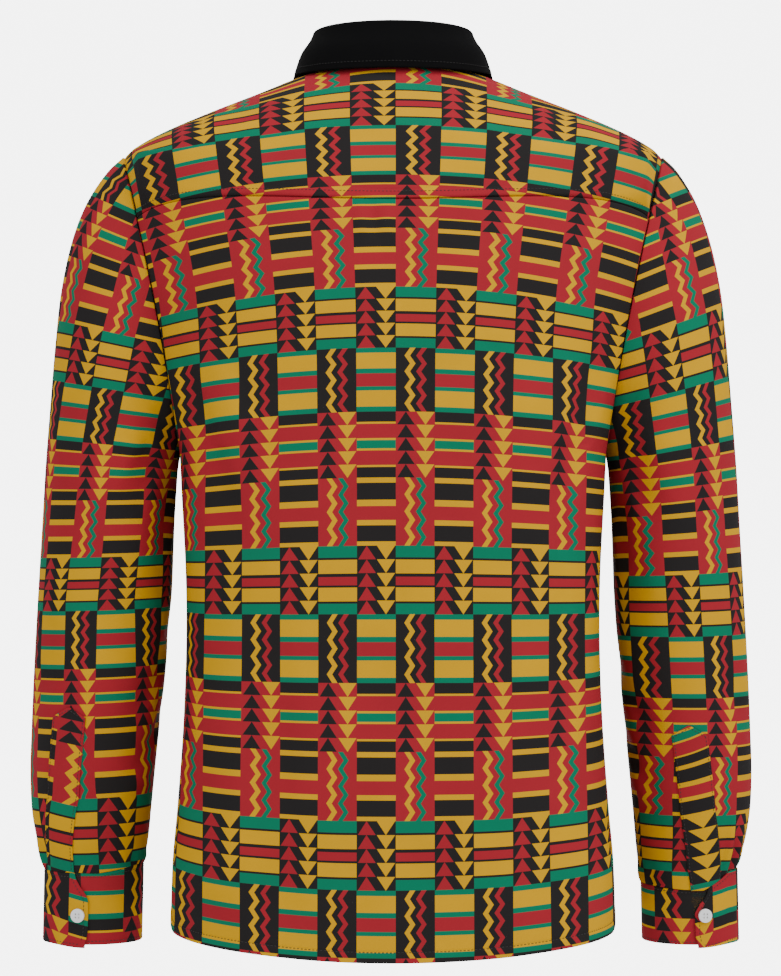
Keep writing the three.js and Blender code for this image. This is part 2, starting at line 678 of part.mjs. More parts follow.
function fallWall() {
  const columns = 32;
  const innerRadius = FOLD_RADIUS - COLLAR_WALL;
  const profile = (turn, radius) => {
    const top = standPoint(turn, 1, 0);
    const radial = vec(top.x, top.y, 0).normalize();
    const centre = top.clone().addScaledVector(radial, innerRadius).add(vec(0, 0, FOLD_RISE));
    const round = FOLD_ANGLES.map((angle) => centre.clone()
      .addScaledVector(radial, radius * cos(rad(angle)))
      .add(vec(0, 0, radius * sin(rad(angle)))));
    const along = abs(turn);
    const edge = vec(edgeTrack.x(along) * sign(turn || 1), edgeTrack.y(along), edgeTrack.z(along));
    const start = centre.clone().addScaledVector(radial, FOLD_RADIUS);
    const fall = edge.clone().sub(start);
    const face = radial.clone().addScaledVector(fall, -radial.dot(fall) / fall.lengthSq()).normalize();
    for (let k = 1; k <= FALL_STEPS; k += 1) {
      const t = k / FALL_STEPS;
      const bow = FALL_BOW * sin(PI * t) * smooth(0, 1, t * 2);
      round.push(start.clone().addScaledVector(fall, t)
        .addScaledVector(face, bow + radius - FOLD_RADIUS));
    }
    return round;
  };
  const place = (radius) => {
    const lines = counted(columns + 1, (j) => (
      profile(lerp(-FALL_END_TURN, FALL_END_TURN, j / columns), radius)));
    return lines[0].map((_, i) => lines.map((line) => line[i]));
  };
  return solid(place(FOLD_RADIUS), place(innerRadius));
}

// A button with a raised rim, lying on a face
function button(name, point, normal) {
  const profile = [
    { r: 0, z: 0 },
    { r: 0.86, z: 0 },
    { r: 1, z: 0.45 },
    { r: 0.88, z: 1 },
    { r: 0.66, z: 0.72 },
    { r: 0, z: 0.66 },
  ].map(({ r, z }) => new THREE.Vector2(r * BUTTON_RADIUS, z * BUTTON_THICKNESS));
  const mesh = add(name, new THREE.LatheGeometry(profile, BUTTON_SIDES), WHITE);
  mesh.quaternion.setFromUnitVectors(vec(0, 1, 0), normal);
  mesh.position.copy(point).addScaledVector(normal, LAP_GAP);
}

// The shirt

add('back', wall(backPanel(), WALL, cutBack), PRINT);
add('yoke', wall(yokePanel(), WALL, cutYoke), PRINT);
add('front_left', wall(frontPanel(1, true), WALL, cutFront), PRINT);
add('front_right', wall(frontPanel(-1, false), WALL, cutFront), PRINT);
add('front_placket', lying(placketPanel(), BAND_WALL), PRINT);

for (const arm of ARMS) {
  add(`sleeve_${arm.name}`, sleeveWall(arm), PRINT);
  add(`sleeve_placket_${arm.name}`, sleevePlacket(arm), PRINT);
  add(`cuff_${arm.name}`, cuffWall(arm), PRINT);
  const seat = cuffPoint(arm, CUFF_BUTTON_TURN, CUFF_BUTTON_Z, CUFF_LIFT);
  const aside = cuffPoint(arm, CUFF_BUTTON_TURN - 4, CUFF_BUTTON_Z, CUFF_LIFT).sub(seat);
  const normal = vec(-aside.y, aside.x, 0).normalize();
  button(`cuff_button_${arm.name}`, vec(seat.x * arm.side, seat.y, seat.z),
    vec(normal.x * arm.side, normal.y, 0));
}

add('collar_stand', standWall(), BLACK);
add('collar_fall', fallWall(), BLACK);

const standRise = standPoint(180, 1, 0).sub(standPoint(180, 0, 0)).normalize();
button('stand_button', standPoint(180, 0.5, 0), vec(0, -standRise.z, standRise.y));
const placketMiddle = placketPanel().map((row) => row[PLACKET_COLUMNS / 2]);
for (let k = 0; k < FRONT_BUTTONS; k += 1) {
  const z = FRONT_BUTTON_TOP_Z - k * FRONT_BUTTON_PITCH;
  const above = placketMiddle.findIndex((point) => point.z > z);
  const low = placketMiddle[above - 1];
  const rise = placketMiddle[above].clone().sub(low);
  const seat = low.clone().addScaledVector(rise, (z - low.z) / rise.z);
  const normal = vec(0, -rise.z, rise.y).normalize();
  seat.addScaledVector(normal, LAP_GAP + BAND_WALL);
  button(`front_button_${k + 1}`, seat, normal);
}

export default shirt;
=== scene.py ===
# %% [markdown]
# # Kente print shirt
# A long-sleeved button shirt in kente print with a black collar, seen from the back and filled
# out as if it were worn. The solids in the frame give every panel's true form. This scene puts
# thin cloth on those forms, with the creases, seams, stitches and print.

# %% Start
import math

import bpy
import numpy as np
from mathutils import Matrix, Vector


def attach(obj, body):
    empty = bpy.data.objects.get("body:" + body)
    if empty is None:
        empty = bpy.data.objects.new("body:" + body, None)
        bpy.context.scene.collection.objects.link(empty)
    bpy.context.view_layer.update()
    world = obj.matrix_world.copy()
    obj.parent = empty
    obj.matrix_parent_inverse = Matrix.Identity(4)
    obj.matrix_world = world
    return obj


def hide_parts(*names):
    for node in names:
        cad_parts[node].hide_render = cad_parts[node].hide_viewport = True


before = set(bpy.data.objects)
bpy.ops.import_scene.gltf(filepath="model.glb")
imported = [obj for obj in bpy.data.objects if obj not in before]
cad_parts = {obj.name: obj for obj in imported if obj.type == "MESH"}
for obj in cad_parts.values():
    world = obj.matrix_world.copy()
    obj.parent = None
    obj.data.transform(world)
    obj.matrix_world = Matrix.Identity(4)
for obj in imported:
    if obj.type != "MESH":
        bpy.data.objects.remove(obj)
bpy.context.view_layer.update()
MM = 0.001

# %% [markdown]
# A real shirt is cut from flat cloth and takes its form from the body inside it. The form here
# comes from the same few sizes as the solids: the half width and depth of the torso by height,
# the outer and inner line of a sleeve, the neck's oval. All sizes are millimetres until a mesh
# is made.

# %% Sizes of the body
DETAIL = 1.0
CLOTH = 0.8
LAP_GAP = 0.4
NECK_GAP = 0.5

NECK_HALF, NECK_BACK, NECK_FRONT, NECK_TOP_Z = 66, 58, 70, 5
SHOULDER_Z, ARMPIT_Z = -65, -310
HOLE_DEPTH, HOLE_BEND = 60, 5.5
HOLE_MIDDLE_Z = (SHOULDER_Z + ARMPIT_Z) / 2
HOLE_HALF = (SHOULDER_Z - ARMPIT_Z) / 2
YOKE_FORWARD, YOKE_SEAM_Z, YOKE_SEAM_RISE, YOKE_SEAM_FALL = 36, -110.5, 20, 30
HEM_Z, HEM_RISE, HEM_NOTCH, HEM_NOTCH_START = -722, 15, 9, 0.78
FRONT_LAP, UNDER_LAP, PLACKET_WIDTH = 16, 14, 32
UNDER_EASE_START, UNDER_EASE_END, UNDER_DEPTH = 18, 50, 2.3
NECK_SQUARE, SHOULDER_SQUARE, BODY_SQUARE, HOLE_SQUARE, HOLE_EASE = 2, 2.6, 2.9, 1.15, 3.5

TORSO_COLUMNS = ("z", "half", "back", "front")
TORSO = [
    (-730, 186, 129, 125),
    (-655, 184, 128, 123),
    (-609, 180, 127, 121),
    (-540, 175, 126, 118),
    (-470, 172.5, 125.5, 117),
    (-414, 173, 126, 119),
    (-345, 176.5, 127, 123),
    (-310, 178, 127.5, 124),
    (-240, 191.7, 127, 119),
    (-180, 203.5, 124, 109),
    (-130, 213.3, 118.5, 95),
    (-90, 221.1, 110.5, 78),
    (-65, 226, 102.5, 65),
    (-53, 207, 98.5, 58.5),
    (-42, 184.5, 94, 52),
    (-28, 151, 86, 42),
    (-14, 115, 76, 31),
    (-1, 83, 65, 20),
    (5, 66, 58, 14),
]
print("torso from", TORSO[0][0], "to", TORSO[-1][0])

# %% Curves through the tables


def smooth(a, b, x):
    t = np.clip((np.asarray(x, float) - a) / (b - a), 0, 1)
    return t * t * (3 - 2 * t)


def bump(x, span):
    t = np.clip(np.abs(x) / span, 0, 1)
    return (1 - t * t) ** 2


def lerp(a, b, t):
    return a + (b - a) * t


def sin(degrees):
    return np.sin(np.radians(degrees))


def cos(degrees):
    return np.cos(np.radians(degrees))


def track(rows, columns, along, column):
    """A smooth curve through one column of a table."""
    x = np.array([row[columns.index(along)] for row in rows], float)
    y = np.array([row[columns.index(column)] for row in rows], float)
    before = np.maximum(np.arange(len(x)) - 1, 0)
    after = np.minimum(np.arange(len(x)) + 1, len(x) - 1)
    slope = (y[after] - y[before]) / (x[after] - x[before])

    def value(place):
        p = np.clip(np.asarray(place, float), x[0], x[-1])
        i = np.clip(np.searchsorted(x, p) - 1, 0, len(x) - 2)
        gap = x[i + 1] - x[i]
        t = (p - x[i]) / gap
        rise = y[i + 1] - y[i]
        a = slope[i] * gap - rise
        b = rise - slope[i + 1] * gap
        return y[i] + rise * t + t * (1 - t) * (a * (1 - t) + b * t)

    return value


side_half = track([row for row in TORSO if row[0] <= ARMPIT_Z], TORSO_COLUMNS, "z", "half")
ridge_half = track([row for row in TORSO if row[0] >= SHOULDER_Z], TORSO_COLUMNS, "z", "half")
torso_back = track(TORSO, TORSO_COLUMNS, "z", "back")
torso_front = track(TORSO, TORSO_COLUMNS, "z", "front")
ARMPIT_HALF, SHOULDER_HALF = float(side_half(ARMPIT_Z)), float(ridge_half(SHOULDER_Z))

print("half widths", {"shoulder": SHOULDER_HALF, "armpit": ARMPIT_HALF})

# %% [markdown]
# The body of a shirt is a tube round the chest, with armholes cut into its sides. It could be
# sculpted, but then the panels would not meet the solids. Here each height has half sections, a
# rounded rectangle each, and a panel is some share of the way round them.

# %% Sections of the torso


def torso_half(z):
    t = (z - ARMPIT_Z) / (2 * HOLE_HALF)
    hole = lerp(ARMPIT_HALF, SHOULDER_HALF, t) - HOLE_BEND * 4 * t * (1 - t)
    return np.where(z >= SHOULDER_Z, ridge_half(z), np.where(z <= ARMPIT_Z, side_half(z), hole))


def hole_depth(z):
    t = np.clip((z - HOLE_MIDDLE_Z) / HOLE_HALF, -1, 1)
    return HOLE_DEPTH * np.sqrt(1 - t * t)


def squareness(z):
    upper = lerp(SHOULDER_SQUARE, NECK_SQUARE, smooth(SHOULDER_Z, NECK_TOP_Z, z))
    lower = lerp(BODY_SQUARE, SHOULDER_SQUARE, smooth(ARMPIT_Z, SHOULDER_Z, z))
    wide = np.where(z > SHOULDER_Z, upper, lower)
    t = np.clip((z - HOLE_MIDDLE_Z) / HOLE_HALF, -1, 1)
    end = np.where(t > 0, NECK_SQUARE, wide)
    return wide, lerp(HOLE_SQUARE, end, np.abs(t) ** HOLE_EASE)


SECTION_STEPS = 240


def section(side, z):
    """Half sections of the torso at heights z: x, y and the way along from the middle."""
    half = torso_half(z)[:, None]
    deep = (torso_back(z) if side > 0 else torso_front(z))[:, None]
    hole = hole_depth(z)[:, None]
    wide, round_ = (value[:, None] for value in squareness(z))
    turn = np.linspace(0, 90, SECTION_STEPS + 1)[None, :]
    x = half * sin(turn) ** (2 / wide)
    y = hole + (deep - hole) * np.maximum(cos(turn), 0) ** (2 / round_)
    step = np.hypot(np.diff(x, axis=1), np.diff(y, axis=1))
    along = np.concatenate([np.zeros((len(z), 1)), np.cumsum(step, axis=1)], axis=1)
    return x, y, along


print("steps in a half section", SECTION_STEPS)

# %% Points of the torso


def in_parts(work, *arrays, size=3000):
    """Runs work on flat arrays a part at a time and joins what it returns."""
    shape = np.broadcast(*arrays).shape
    flat = [np.broadcast_to(array, shape).reshape(-1).astype(float) for array in arrays]
    parts = [work(*(array[k : k + size] for array in flat)) for k in range(0, len(flat[0]), size)]
    return [np.concatenate(column).reshape(shape) for column in zip(*parts)]


def reach(side, z):
    return in_parts(lambda z: (section(side, z)[2][:, -1],), np.asarray(z, float))[0]


def picker(along, share):
    """Reads other values of the sections where a share of the way along lies."""
    place = np.abs(share) * along[:, -1]
    k = np.clip((along < place[:, None]).sum(axis=1) - 1, 0, SECTION_STEPS - 1)
    rows = np.arange(len(share))
    t = (place - along[rows, k]) / (along[rows, k + 1] - along[rows, k])
    return lambda values: lerp(values[rows, k], values[rows, k + 1], t)


def torso(side, share, z):
    """Points of the torso at a share of the way round from the middle and a height."""

    def work(share, z):
        x, y, along = section(side, z)
        at_share = picker(along, share)
        return at_share(x) * np.where(share < 0, -1, 1), side * at_share(y)

    x, y = in_parts(work, share, z)
    return np.stack([x, y, np.broadcast_to(z, x.shape)], axis=-1)


print("middle of the back at the armpits", torso(1, 0.0, float(ARMPIT_Z)).round(1))

# %% Height over the plan


def covers(x, y, z):
    half = torso_half(z)
    deep = np.where(y > 0, torso_back(z), torso_front(z))
    hole = hole_depth(z)
    wide, round_ = squareness(z)
    rim = np.clip(1 - np.clip(np.abs(x) / half, 0, 1) ** wide, 0, 1) ** (1 / round_)
    return (np.abs(x) <= half) & (np.abs(y) <= hole + (deep - hole) * rim)


def top_height(x, y):
    """Height of the upper torso over points of the plan."""

    def work(x, y):
        levels = np.arange(NECK_TOP_Z, ARMPIT_Z, -2.0)
        hit = covers(x[:, None], y[:, None], levels[None, :])
        first = np.where(hit.any(axis=1), hit.argmax(axis=1), len(levels) - 1)
        low = levels[first]
        high = np.minimum(low + 2, NECK_TOP_Z)
        for _ in range(24):
            middle = (low + high) / 2
            inside = covers(x, y, middle)
            low = np.where(inside, middle, low)
            high = np.where(inside, high, middle)
        return (low,)

    return in_parts(work, x, y)[0]


print("height beside the neck", top_height(np.array([NECK_HALF + 1.0]), np.zeros(1)).round(1))

# %% Edges of the panels


def neck_oval(turn, grow=0.0):
    c = cos(turn)
    return (NECK_HALF + grow) * sin(turn), (np.where(c > 0, NECK_BACK, NECK_FRONT) + grow) * c


def outside_neck(x, y):
    deep = np.where(y > 0, NECK_BACK, NECK_FRONT) + NECK_GAP
    return np.hypot(x / (NECK_HALF + NECK_GAP), y / deep) >= 1


def seam_height(share):
    return YOKE_SEAM_Z + YOKE_SEAM_RISE * share**2 - YOKE_SEAM_FALL * share**4


def hem_height(share):
    notch = smooth(HEM_NOTCH_START, 1, np.abs(share)) * HEM_NOTCH
    return HEM_Z + HEM_RISE * sin(90 * share) ** 2 + notch


def edge_of(test, low, high):
    """The last parameter from low towards high at which a test holds, for a whole array."""
    for _ in range(30):
        middle = (low + high) / 2
        holds = test(middle)
        low = np.where(holds, middle, low)
        high = np.where(holds, high, middle)
    return low


print("back from", float(hem_height(0.0)), "to", float(seam_height(0.0)))

# %% [markdown]
# A sleeve is a tube of ovals from the armhole to the cuff, and the collar stands on an oval round
# the neck. A bevelled curve could give a tube, but not the slanted ovals at its ends, so each oval
# is worked out from its outer and inner line.

# %% Sizes of the sleeves and cuffs
SLEEVE_COLUMNS = ("at", "outer_x", "outer_z", "inner_x", "inner_z", "depth", "forward")
SLEEVE = [
    (0, 226, -65, 178, -310, 60, 0),
    (1, 240, -79, 178.8, -315, 61, 0),
    (2, 256, -105, 179.6, -320, 61.5, 0),
    (3, 268, -138, 180.3, -325, 62, 0),
    (4, 276.5, -178, 181, -331, 62, 0),
    (5, 281.5, -222, 181.6, -339, 61.5, 1),
    (6, 286, -275, 182.6, -353, 60.5, 2),
    (7, 290, -325, 183.8, -373, 59, 3),
    (8, 293, -375, 184.8, -399, 57.5, 4),
    (9, 297, -437, 186.5, -437, 55.5, 6),
    (10, 301, -504, 192.2, -504, 53, 10),
    (11, 303, -544, 196.8, -545, 51.5, 13),
    (12, 304.5, -580, 200.5, -580, 50, 16),
    (13, 303.8, -612, 203.8, -612, 47.5, 19),
    (14, 300, -639, 206.5, -639, 43.5, 21),
    (15, 295.6, -655, 209, -655, 39, 22),
    (16, 293, -664, 210.5, -664, 36.5, 22),
]
SLEEVE_END = 16

# What differs between the sleeves: outer and inner line, and the placket's turns
LEFT = {
    "side": 1, "name": "left", "outer": 1.8, "inner": 0.6, "placket": (70, 67, 50), "tip": -524,
    "seam": [(-180, -4), (-90, -2), (0, 0), (100, 1), (150, -4), (180, -4)],
}
RIGHT = {
    "side": -1, "name": "right", "outer": -1.6, "inner": -1, "placket": (94, 89, 74), "tip": -539,
    "seam": [
        (-180, 12), (-90, 4), (0, 0), (42, 0), (62, 9), (78, 15), (100, 15), (140, 13), (180, 12),
    ],
}
ARMS = [LEFT, RIGHT]
SLEEVE_PLACKET_WIDTH, SLEEVE_PLACKET_LENGTH, PLACKET_POINT, PLACKET_RISE = 30, 133, 9, 0.9
CUFF_TOP_Z, CUFF_FOOT_Z, CUFF_LIFT, CUFF_WAY = -664, -725, 2.2, 236.0
CUFF_HEIGHT = CUFF_TOP_Z - CUFF_FOOT_Z
CUFF_END_TURN, CUFF_LAP_TURN, CUFF_END_DROP, CUFF_END_SHARE = 89, 39, 2.5, 0.12
CUFF_LEAN_X, CUFF_LEAN_Y = 1.5, -2
# Stations between which a sleeve takes up its own lines, straightens, and turns to the cuff
OUTER_AT, INNER_AT, STRAIGHT_AT, SEAM_AT = (0, 3), (8, 12), (0, 2.5), (13, SLEEVE_END)
print("sleeve plackets reach up to", [arm["tip"] for arm in ARMS])

# %% Sleeve and cuff form
sleeve_track = {name: track(SLEEVE, SLEEVE_COLUMNS, "at", name) for name in SLEEVE_COLUMNS[1:]}


def cuff_seam(arm, turn):
    """How much lower than at the outer line the cuff is sewn on, round the sleeve."""
    return np.interp((turn + 180) % 360 - 180, *zip(*arm["seam"]))


def sleeve(arm, at, turn, grow=0.0):
    """Points of a sleeve, drawn on the left: at is the way along, turn from the outer line."""
    ox = sleeve_track["outer_x"](at) + arm["outer"] * smooth(*OUTER_AT, at)
    oz = sleeve_track["outer_z"](at)
    ix = sleeve_track["inner_x"](at) + arm["inner"] * smooth(*INNER_AT, at)
    iz = sleeve_track["inner_z"](at)
    span = np.hypot(ox - ix, oz - iz)
    half = span / 2 + grow
    x = (ox + ix) / 2 + (ox - ix) / span * half * cos(turn)
    z = (oz + iz) / 2 + (oz - iz) / span * half * cos(turn)
    x = x - HOLE_BEND * sin(turn) ** 2 * (1 - smooth(*STRAIGHT_AT, at))
    z = z - cuff_seam(arm, turn) * smooth(*SEAM_AT, at)
    y = (sleeve_track["depth"](at) + grow) * sin(turn) - sleeve_track["forward"](at)
    return np.stack([x, y, z], axis=-1)


def cuff_point(arm, turn, z, grow):
    end = sleeve(arm, np.full(np.shape(turn), float(SLEEVE_END)), turn, grow)
    lean = (z - CUFF_TOP_Z) / (CUFF_FOOT_Z - CUFF_TOP_Z)
    return np.stack([end[..., 0] + CUFF_LEAN_X * lean, end[..., 1] + CUFF_LEAN_Y * lean, z], axis=-1)


cuff_foot = cuff_point(LEFT, np.zeros(1), np.full(1, float(CUFF_FOOT_Z)), 0.0)
print("foot of the left cuff, outer line", cuff_foot.round(1).tolist())

# %% Collar form
STAND_BACK, STAND_FRONT, STAND_LEAN, STAND_LAP_TURN, STAND_WALL = 33.6, 29, 5, 13, 1.8
STAND_TUCK = 1
FOLD_RADIUS, FOLD_INNER, FOLD_RISE, FALL_END_TURN, FALL_BOW = 3, 1.4, 0.9, 168, 2.5
FALL_COLUMNS = ("turn", "x", "y", "z")
FALL_EDGE = [
    (0, 0, 72, 0.5),
    (30, 42, 62.5, 0.5),
    (60, 71, 38, 1),
    (90, 83.5, 0, 1.5),
    (110, 84, -27, -14),
    (130, 78, -55, -45),
    (150, 64, -78, -78),
    (168, 47, -88, -101),
]
fall_track = {name: track(FALL_EDGE, FALL_COLUMNS, "turn", name) for name in FALL_COLUMNS[1:]}


def stand_point(turn, up, grow):
    front = (1 - cos(turn)) / 2
    height = lerp(STAND_BACK, STAND_FRONT, front)
    wrapped = np.where(np.abs(turn) > 180, 360 - np.abs(turn), np.abs(turn))
    x, y = neck_oval(turn, -NECK_GAP + grow - STAND_LEAN * up * front)
    foot = top_height(*neck_oval(wrapped, NECK_GAP))
    return np.stack([x, y, foot - STAND_TUCK + height * up], axis=-1)


print("collar stand's back from", stand_point(np.zeros(2), np.array([0.0, 1.0]), 0).round(1).tolist())

# %% [markdown]
# A cloth piece starts as a grid of points on its form, is pushed out or in along its own
# normals where it creases, and gets a thin second face inside. A pattern cutter would lay the
# panel flat. Here the grid's lines stand for warp and weft, closer together beside a seam.

# %% Cloth from a grid
CORE = np.array([0.0, 0.0, -300.0])


def stations(length, pitch, marks=()):
    """Places along a length: even, with closer ones round each mark."""
    count = max(int(round(length / (pitch / DETAIL))), 2)
    places = list(np.linspace(0, length, count + 1))
    near = (-1.8, -1.1, -0.55, 0, 0.55, 1.1, 1.8)
    close = [mark + away for mark in marks for away in near]
    places += [place for place in close if 0 < place < length]
    kept = []
    for place in sorted(places):
        if not kept or place - kept[-1] > 0.3 or place == length:
            kept.append(place)
    return np.array(kept)


def grid_normals(grid, closed=False):
    if closed:
        across = np.roll(grid, -1, axis=1) - np.roll(grid, 1, axis=1)
    else:
        across = np.gradient(grid, axis=1)
    normal = np.cross(across, np.gradient(grid, axis=0))
    return normal / np.maximum(np.linalg.norm(normal, axis=-1, keepdims=True), 1e-9)


def turned_in(grid, normal, closed, core):
    """Whether the normals face the core, judged at the middle of the grid."""
    i, j = grid.shape[0] // 2, 0 if closed else grid.shape[1] // 2
    return normal[i, j] @ (grid[i, j] - (CORE if core is None else core)) < 0


def out_normals(grid, closed=False, core=None):
    normal = grid_normals(grid, closed)
    return normal * (-1 if turned_in(grid, normal, closed, core) else 1)


def raised(grid, height, closed=False, core=None):
    return grid + out_normals(grid, closed, core) * np.asarray(height)[..., None]


def grid_faces(rows, columns, closed):
    across = columns if closed else columns - 1
    i, j = np.meshgrid(np.arange(rows - 1), np.arange(across), indexing="ij")
    right = (j + 1) % columns
    corners = [
        i * columns + j, i * columns + right, (i + 1) * columns + right, (i + 1) * columns + j,
    ]
    cells = [(i, j), (i, j + 1), (i + 1, j + 1), (i + 1, j)]
    return np.stack(corners, axis=-1).reshape(-1, 4), cells


print("the grids' normals face away from", CORE.tolist(), "unless a core is given")

# %% Cloth with a wall


def placed(name, data):
    piece = bpy.data.objects.new(name, data)
    bpy.context.scene.collection.objects.link(piece)
    return piece


def smooth_mesh(name, verts, faces, materials):
    mesh = bpy.data.meshes.new(name)
    mesh.from_pydata(verts, [], faces)
    for material in materials:
        mesh.materials.append(material)
    mesh.polygons.foreach_set("use_smooth", [True] * len(mesh.polygons))
    return mesh


def cloth(name, grid, prints, materials, closed=False, core=None, thickness=CLOTH):
    """A thin piece of cloth: prints holds the place in the repeat, for each grid point."""
    faces, cells = grid_faces(*grid.shape[:2], closed)
    loops = np.stack([prints[i, j] for i, j in cells], axis=2).reshape(-1, 2)
    if turned_in(grid, grid_normals(grid, closed), closed, core):
        faces = faces[:, ::-1]
        loops = loops.reshape(-1, 4, 2)[:, ::-1].reshape(-1, 2)
    mesh = smooth_mesh(name, (grid.reshape(-1, 3) * MM).tolist(), faces.tolist(), materials)
    layer = mesh.uv_layers.new(name="print")
    layer.data.foreach_set("uv", loops.astype(np.float32).ravel())
    piece = placed(name, mesh)
    with_wall(piece, thickness, len(materials) - 1)
    note_cut(name, grid, closed)
    print(name, len(piece.data.polygons), "faces", [round(float(value), 3) for value in cuts[name]])


cuts = {}


def note_cut(name, grid, closed):
    """Keeps how long, wide and large a piece of cloth is, laid flat, in metres."""
    ring = np.concatenate([grid, grid[:, :1]], axis=1) if closed else grid
    wide = np.linalg.norm(np.diff(ring, axis=1), axis=-1)
    long = np.linalg.norm(np.diff(ring, axis=0), axis=-1)
    area = ((wide[1:] + wide[:-1]) / 2 * (long[:, 1:] + long[:, :-1]) / 2).sum()
    cuts[name] = (wide.sum(axis=1).max() * MM, long.sum(axis=0).max() * MM, area * MM**2)


def only(piece):
    bpy.ops.object.select_all(action="DESELECT")
    piece.select_set(True)
    bpy.context.view_layer.objects.active = piece


def with_wall(piece, thickness, inner_slot):
    only(piece)
    bpy.ops.object.modifier_add(type="SOLIDIFY")
    wall = piece.modifiers[-1]
    wall.thickness = thickness * MM
    wall.offset = -1
    wall.material_offset = inner_slot
    bpy.ops.object.modifier_apply(modifier=wall.name)


print("cloth", CLOTH, "mm thick")

# %% Creases


def crease(a, b, start, end, width, height, bend=0.0, lean=0.25):
    """One soft trough or ridge along a line on a panel, steeper on one side than the other."""
    run = np.array(end, float) - start
    length = np.hypot(*run)
    t = ((a - start[0]) * run[0] + (b - start[1]) * run[1]) / length**2
    aside = ((a - start[0]) * run[1] - (b - start[1]) * run[0]) / length
    aside = aside - bend * 4 * t * (1 - t)
    aside = aside * (1 + lean * np.sign(aside))
    return height * bump(aside, width) * bump(t - 0.5, 0.62)


def creases(a, b, table):
    return sum(crease(a, b, *row) for row in table)


print("middle of a crease 2 mm high", float(crease(0, 0, (0, -10), (0, 10), 5, 2)))

# %% [markdown]
# A row of stitches is a row of short threads that lie half sunk in the cloth. Each thread is one
# small spindle of eight corners and two tips, copied along the line.

# %% Stitches
STITCH, STITCH_GAP, THREAD, FIRST_STITCH = 2.4, 0.7, 0.27, 0.5
TIP_SUNK, THREAD_LIFT, THREAD_SHARES = 0.1, 0.4, (0.25, 0.75)
sewn_lines = {}


def sewn(kind, grid, rows, columns, closed=False, core=None):
    """Keeps a line for stitching, given by fractional rows and columns of a grid."""
    normal = out_normals(grid, closed, core)
    rows, columns = np.broadcast_arrays(np.asarray(rows, float), np.asarray(columns, float))
    i = np.clip(np.floor(rows).astype(int), 0, grid.shape[0] - 2)
    j = np.floor(columns).astype(int)
    j = j if closed else np.clip(j, 0, grid.shape[1] - 2)
    right = (j + 1) % grid.shape[1]
    a, b = (rows - i)[:, None], (columns - j)[:, None]

    def pick(field):
        upper = lerp(field[i, j % grid.shape[1]], field[i, right], b)
        return lerp(upper, lerp(field[i + 1, j % grid.shape[1]], field[i + 1, right], b), a)

    sewn_lines.setdefault(kind, []).append((pick(grid), pick(normal)))


def row_where(field, value):
    """For each column of a field that grows down the rows, the fractional row of a value."""
    rows = np.arange(field.shape[0])
    return np.array([np.interp(value, field[:, j], rows) for j in range(field.shape[1])])


def column_where(field, value):
    columns = np.arange(field.shape[1])
    return np.array([np.interp(value, field[i], columns) for i in range(field.shape[0])])


print("a stitch is", STITCH, "mm long and", 2 * THREAD, "mm thick")

# %% Threads along the lines


def stitch_mesh(name, lines, material):
    verts, faces = [], []
    for points, normals in lines:
        step = np.linalg.norm(np.diff(points, axis=0), axis=1)
        along = np.concatenate([[0], np.cumsum(step)])
        for start in np.arange(FIRST_STITCH, along[-1] - STITCH, STITCH + STITCH_GAP):
            ends = [
                np.array([np.interp(start + away, along, points[:, k]) for k in range(3)])
                for away in (0, STITCH)
            ]
            up = np.array([np.interp(start + STITCH / 2, along, normals[:, k]) for k in range(3)])
            way = (ends[1] - ends[0]) / np.linalg.norm(ends[1] - ends[0])
            up = up - way * (up @ way)
            up = up / np.linalg.norm(up)
            aside = np.cross(way, up)
            first = len(verts)
            verts.append(ends[0] - up * TIP_SUNK)
            for share in THREAD_SHARES:
                middle = lerp(ends[0], ends[1], share) + up * THREAD * THREAD_LIFT
                verts += [middle + THREAD * (aside * cos(a) + up * sin(a)) for a in (0, 90, 180, 270)]
            verts.append(ends[1] - up * TIP_SUNK)
            for k in range(4):
                after = (k + 1) % 4
                faces.append((first, first + 1 + after, first + 1 + k))
                faces.append((first + 1 + k, first + 1 + after, first + 5 + after, first + 5 + k))
                faces.append((first + 9, first + 5 + k, first + 5 + after))
    mesh = smooth_mesh(name, [tuple(vert * MM) for vert in verts], faces, [material])
    piece = placed(name, mesh)
    only(piece)
    bpy.ops.object.mode_set(mode="EDIT")
    bpy.ops.mesh.select_all(action="SELECT")
    bpy.ops.mesh.normals_make_consistent(inside=False)
    bpy.ops.object.mode_set(mode="OBJECT")
    print(name, len(verts) // 10, "stitches")
    return piece


print("stitches every", round(STITCH + STITCH_GAP, 1), "mm")

# %% [markdown]
# The print is one repeat, two columns wide and four rows high. Its place on each panel is kept
# as a map in columns and rows. The rows of the back are closer at the shoulders than at the
# hem, and dip towards the armholes, as the filled-out cloth does in the photo.

# %% Rows and columns on the body
ROWS_Z = [
    (-717.9, 14), (-664, 13), (-608.7, 12), (-553.7, 11), (-498.7, 10), (-443.7, 9), (-388.9, 8),
    (-334.5, 7), (-281.9, 6), (-231, 5), (-182.1, 4), (-134.8, 3), (-91.1, 2), (-49.9, 1), (-12.5, 0),
]
DIP_Z = [
    (-722, -12), (-664, -10.4), (-608.7, -6), (-553.7, -4), (-498.7, -0.8), (-443.7, 1.9),
    (-388.9, 6.4), (-334.5, 11.2), (-281.9, 13.6), (-231, 16.8), (-182.1, 24.8), (-134.8, 24.8),
    (-60, 26), (5, 26),
]
COLUMN_Z = [
    (-722, 31.3), (-432, 30.9), (-300, 31.2), (-192.6, 32.2), (-108.6, 35), (-46.8, 37), (5, 37.5),
]
YOKE_ROW = 43.5
PRINT_MIDDLE = 2.1
SPREAD_FLOOR = 0.65


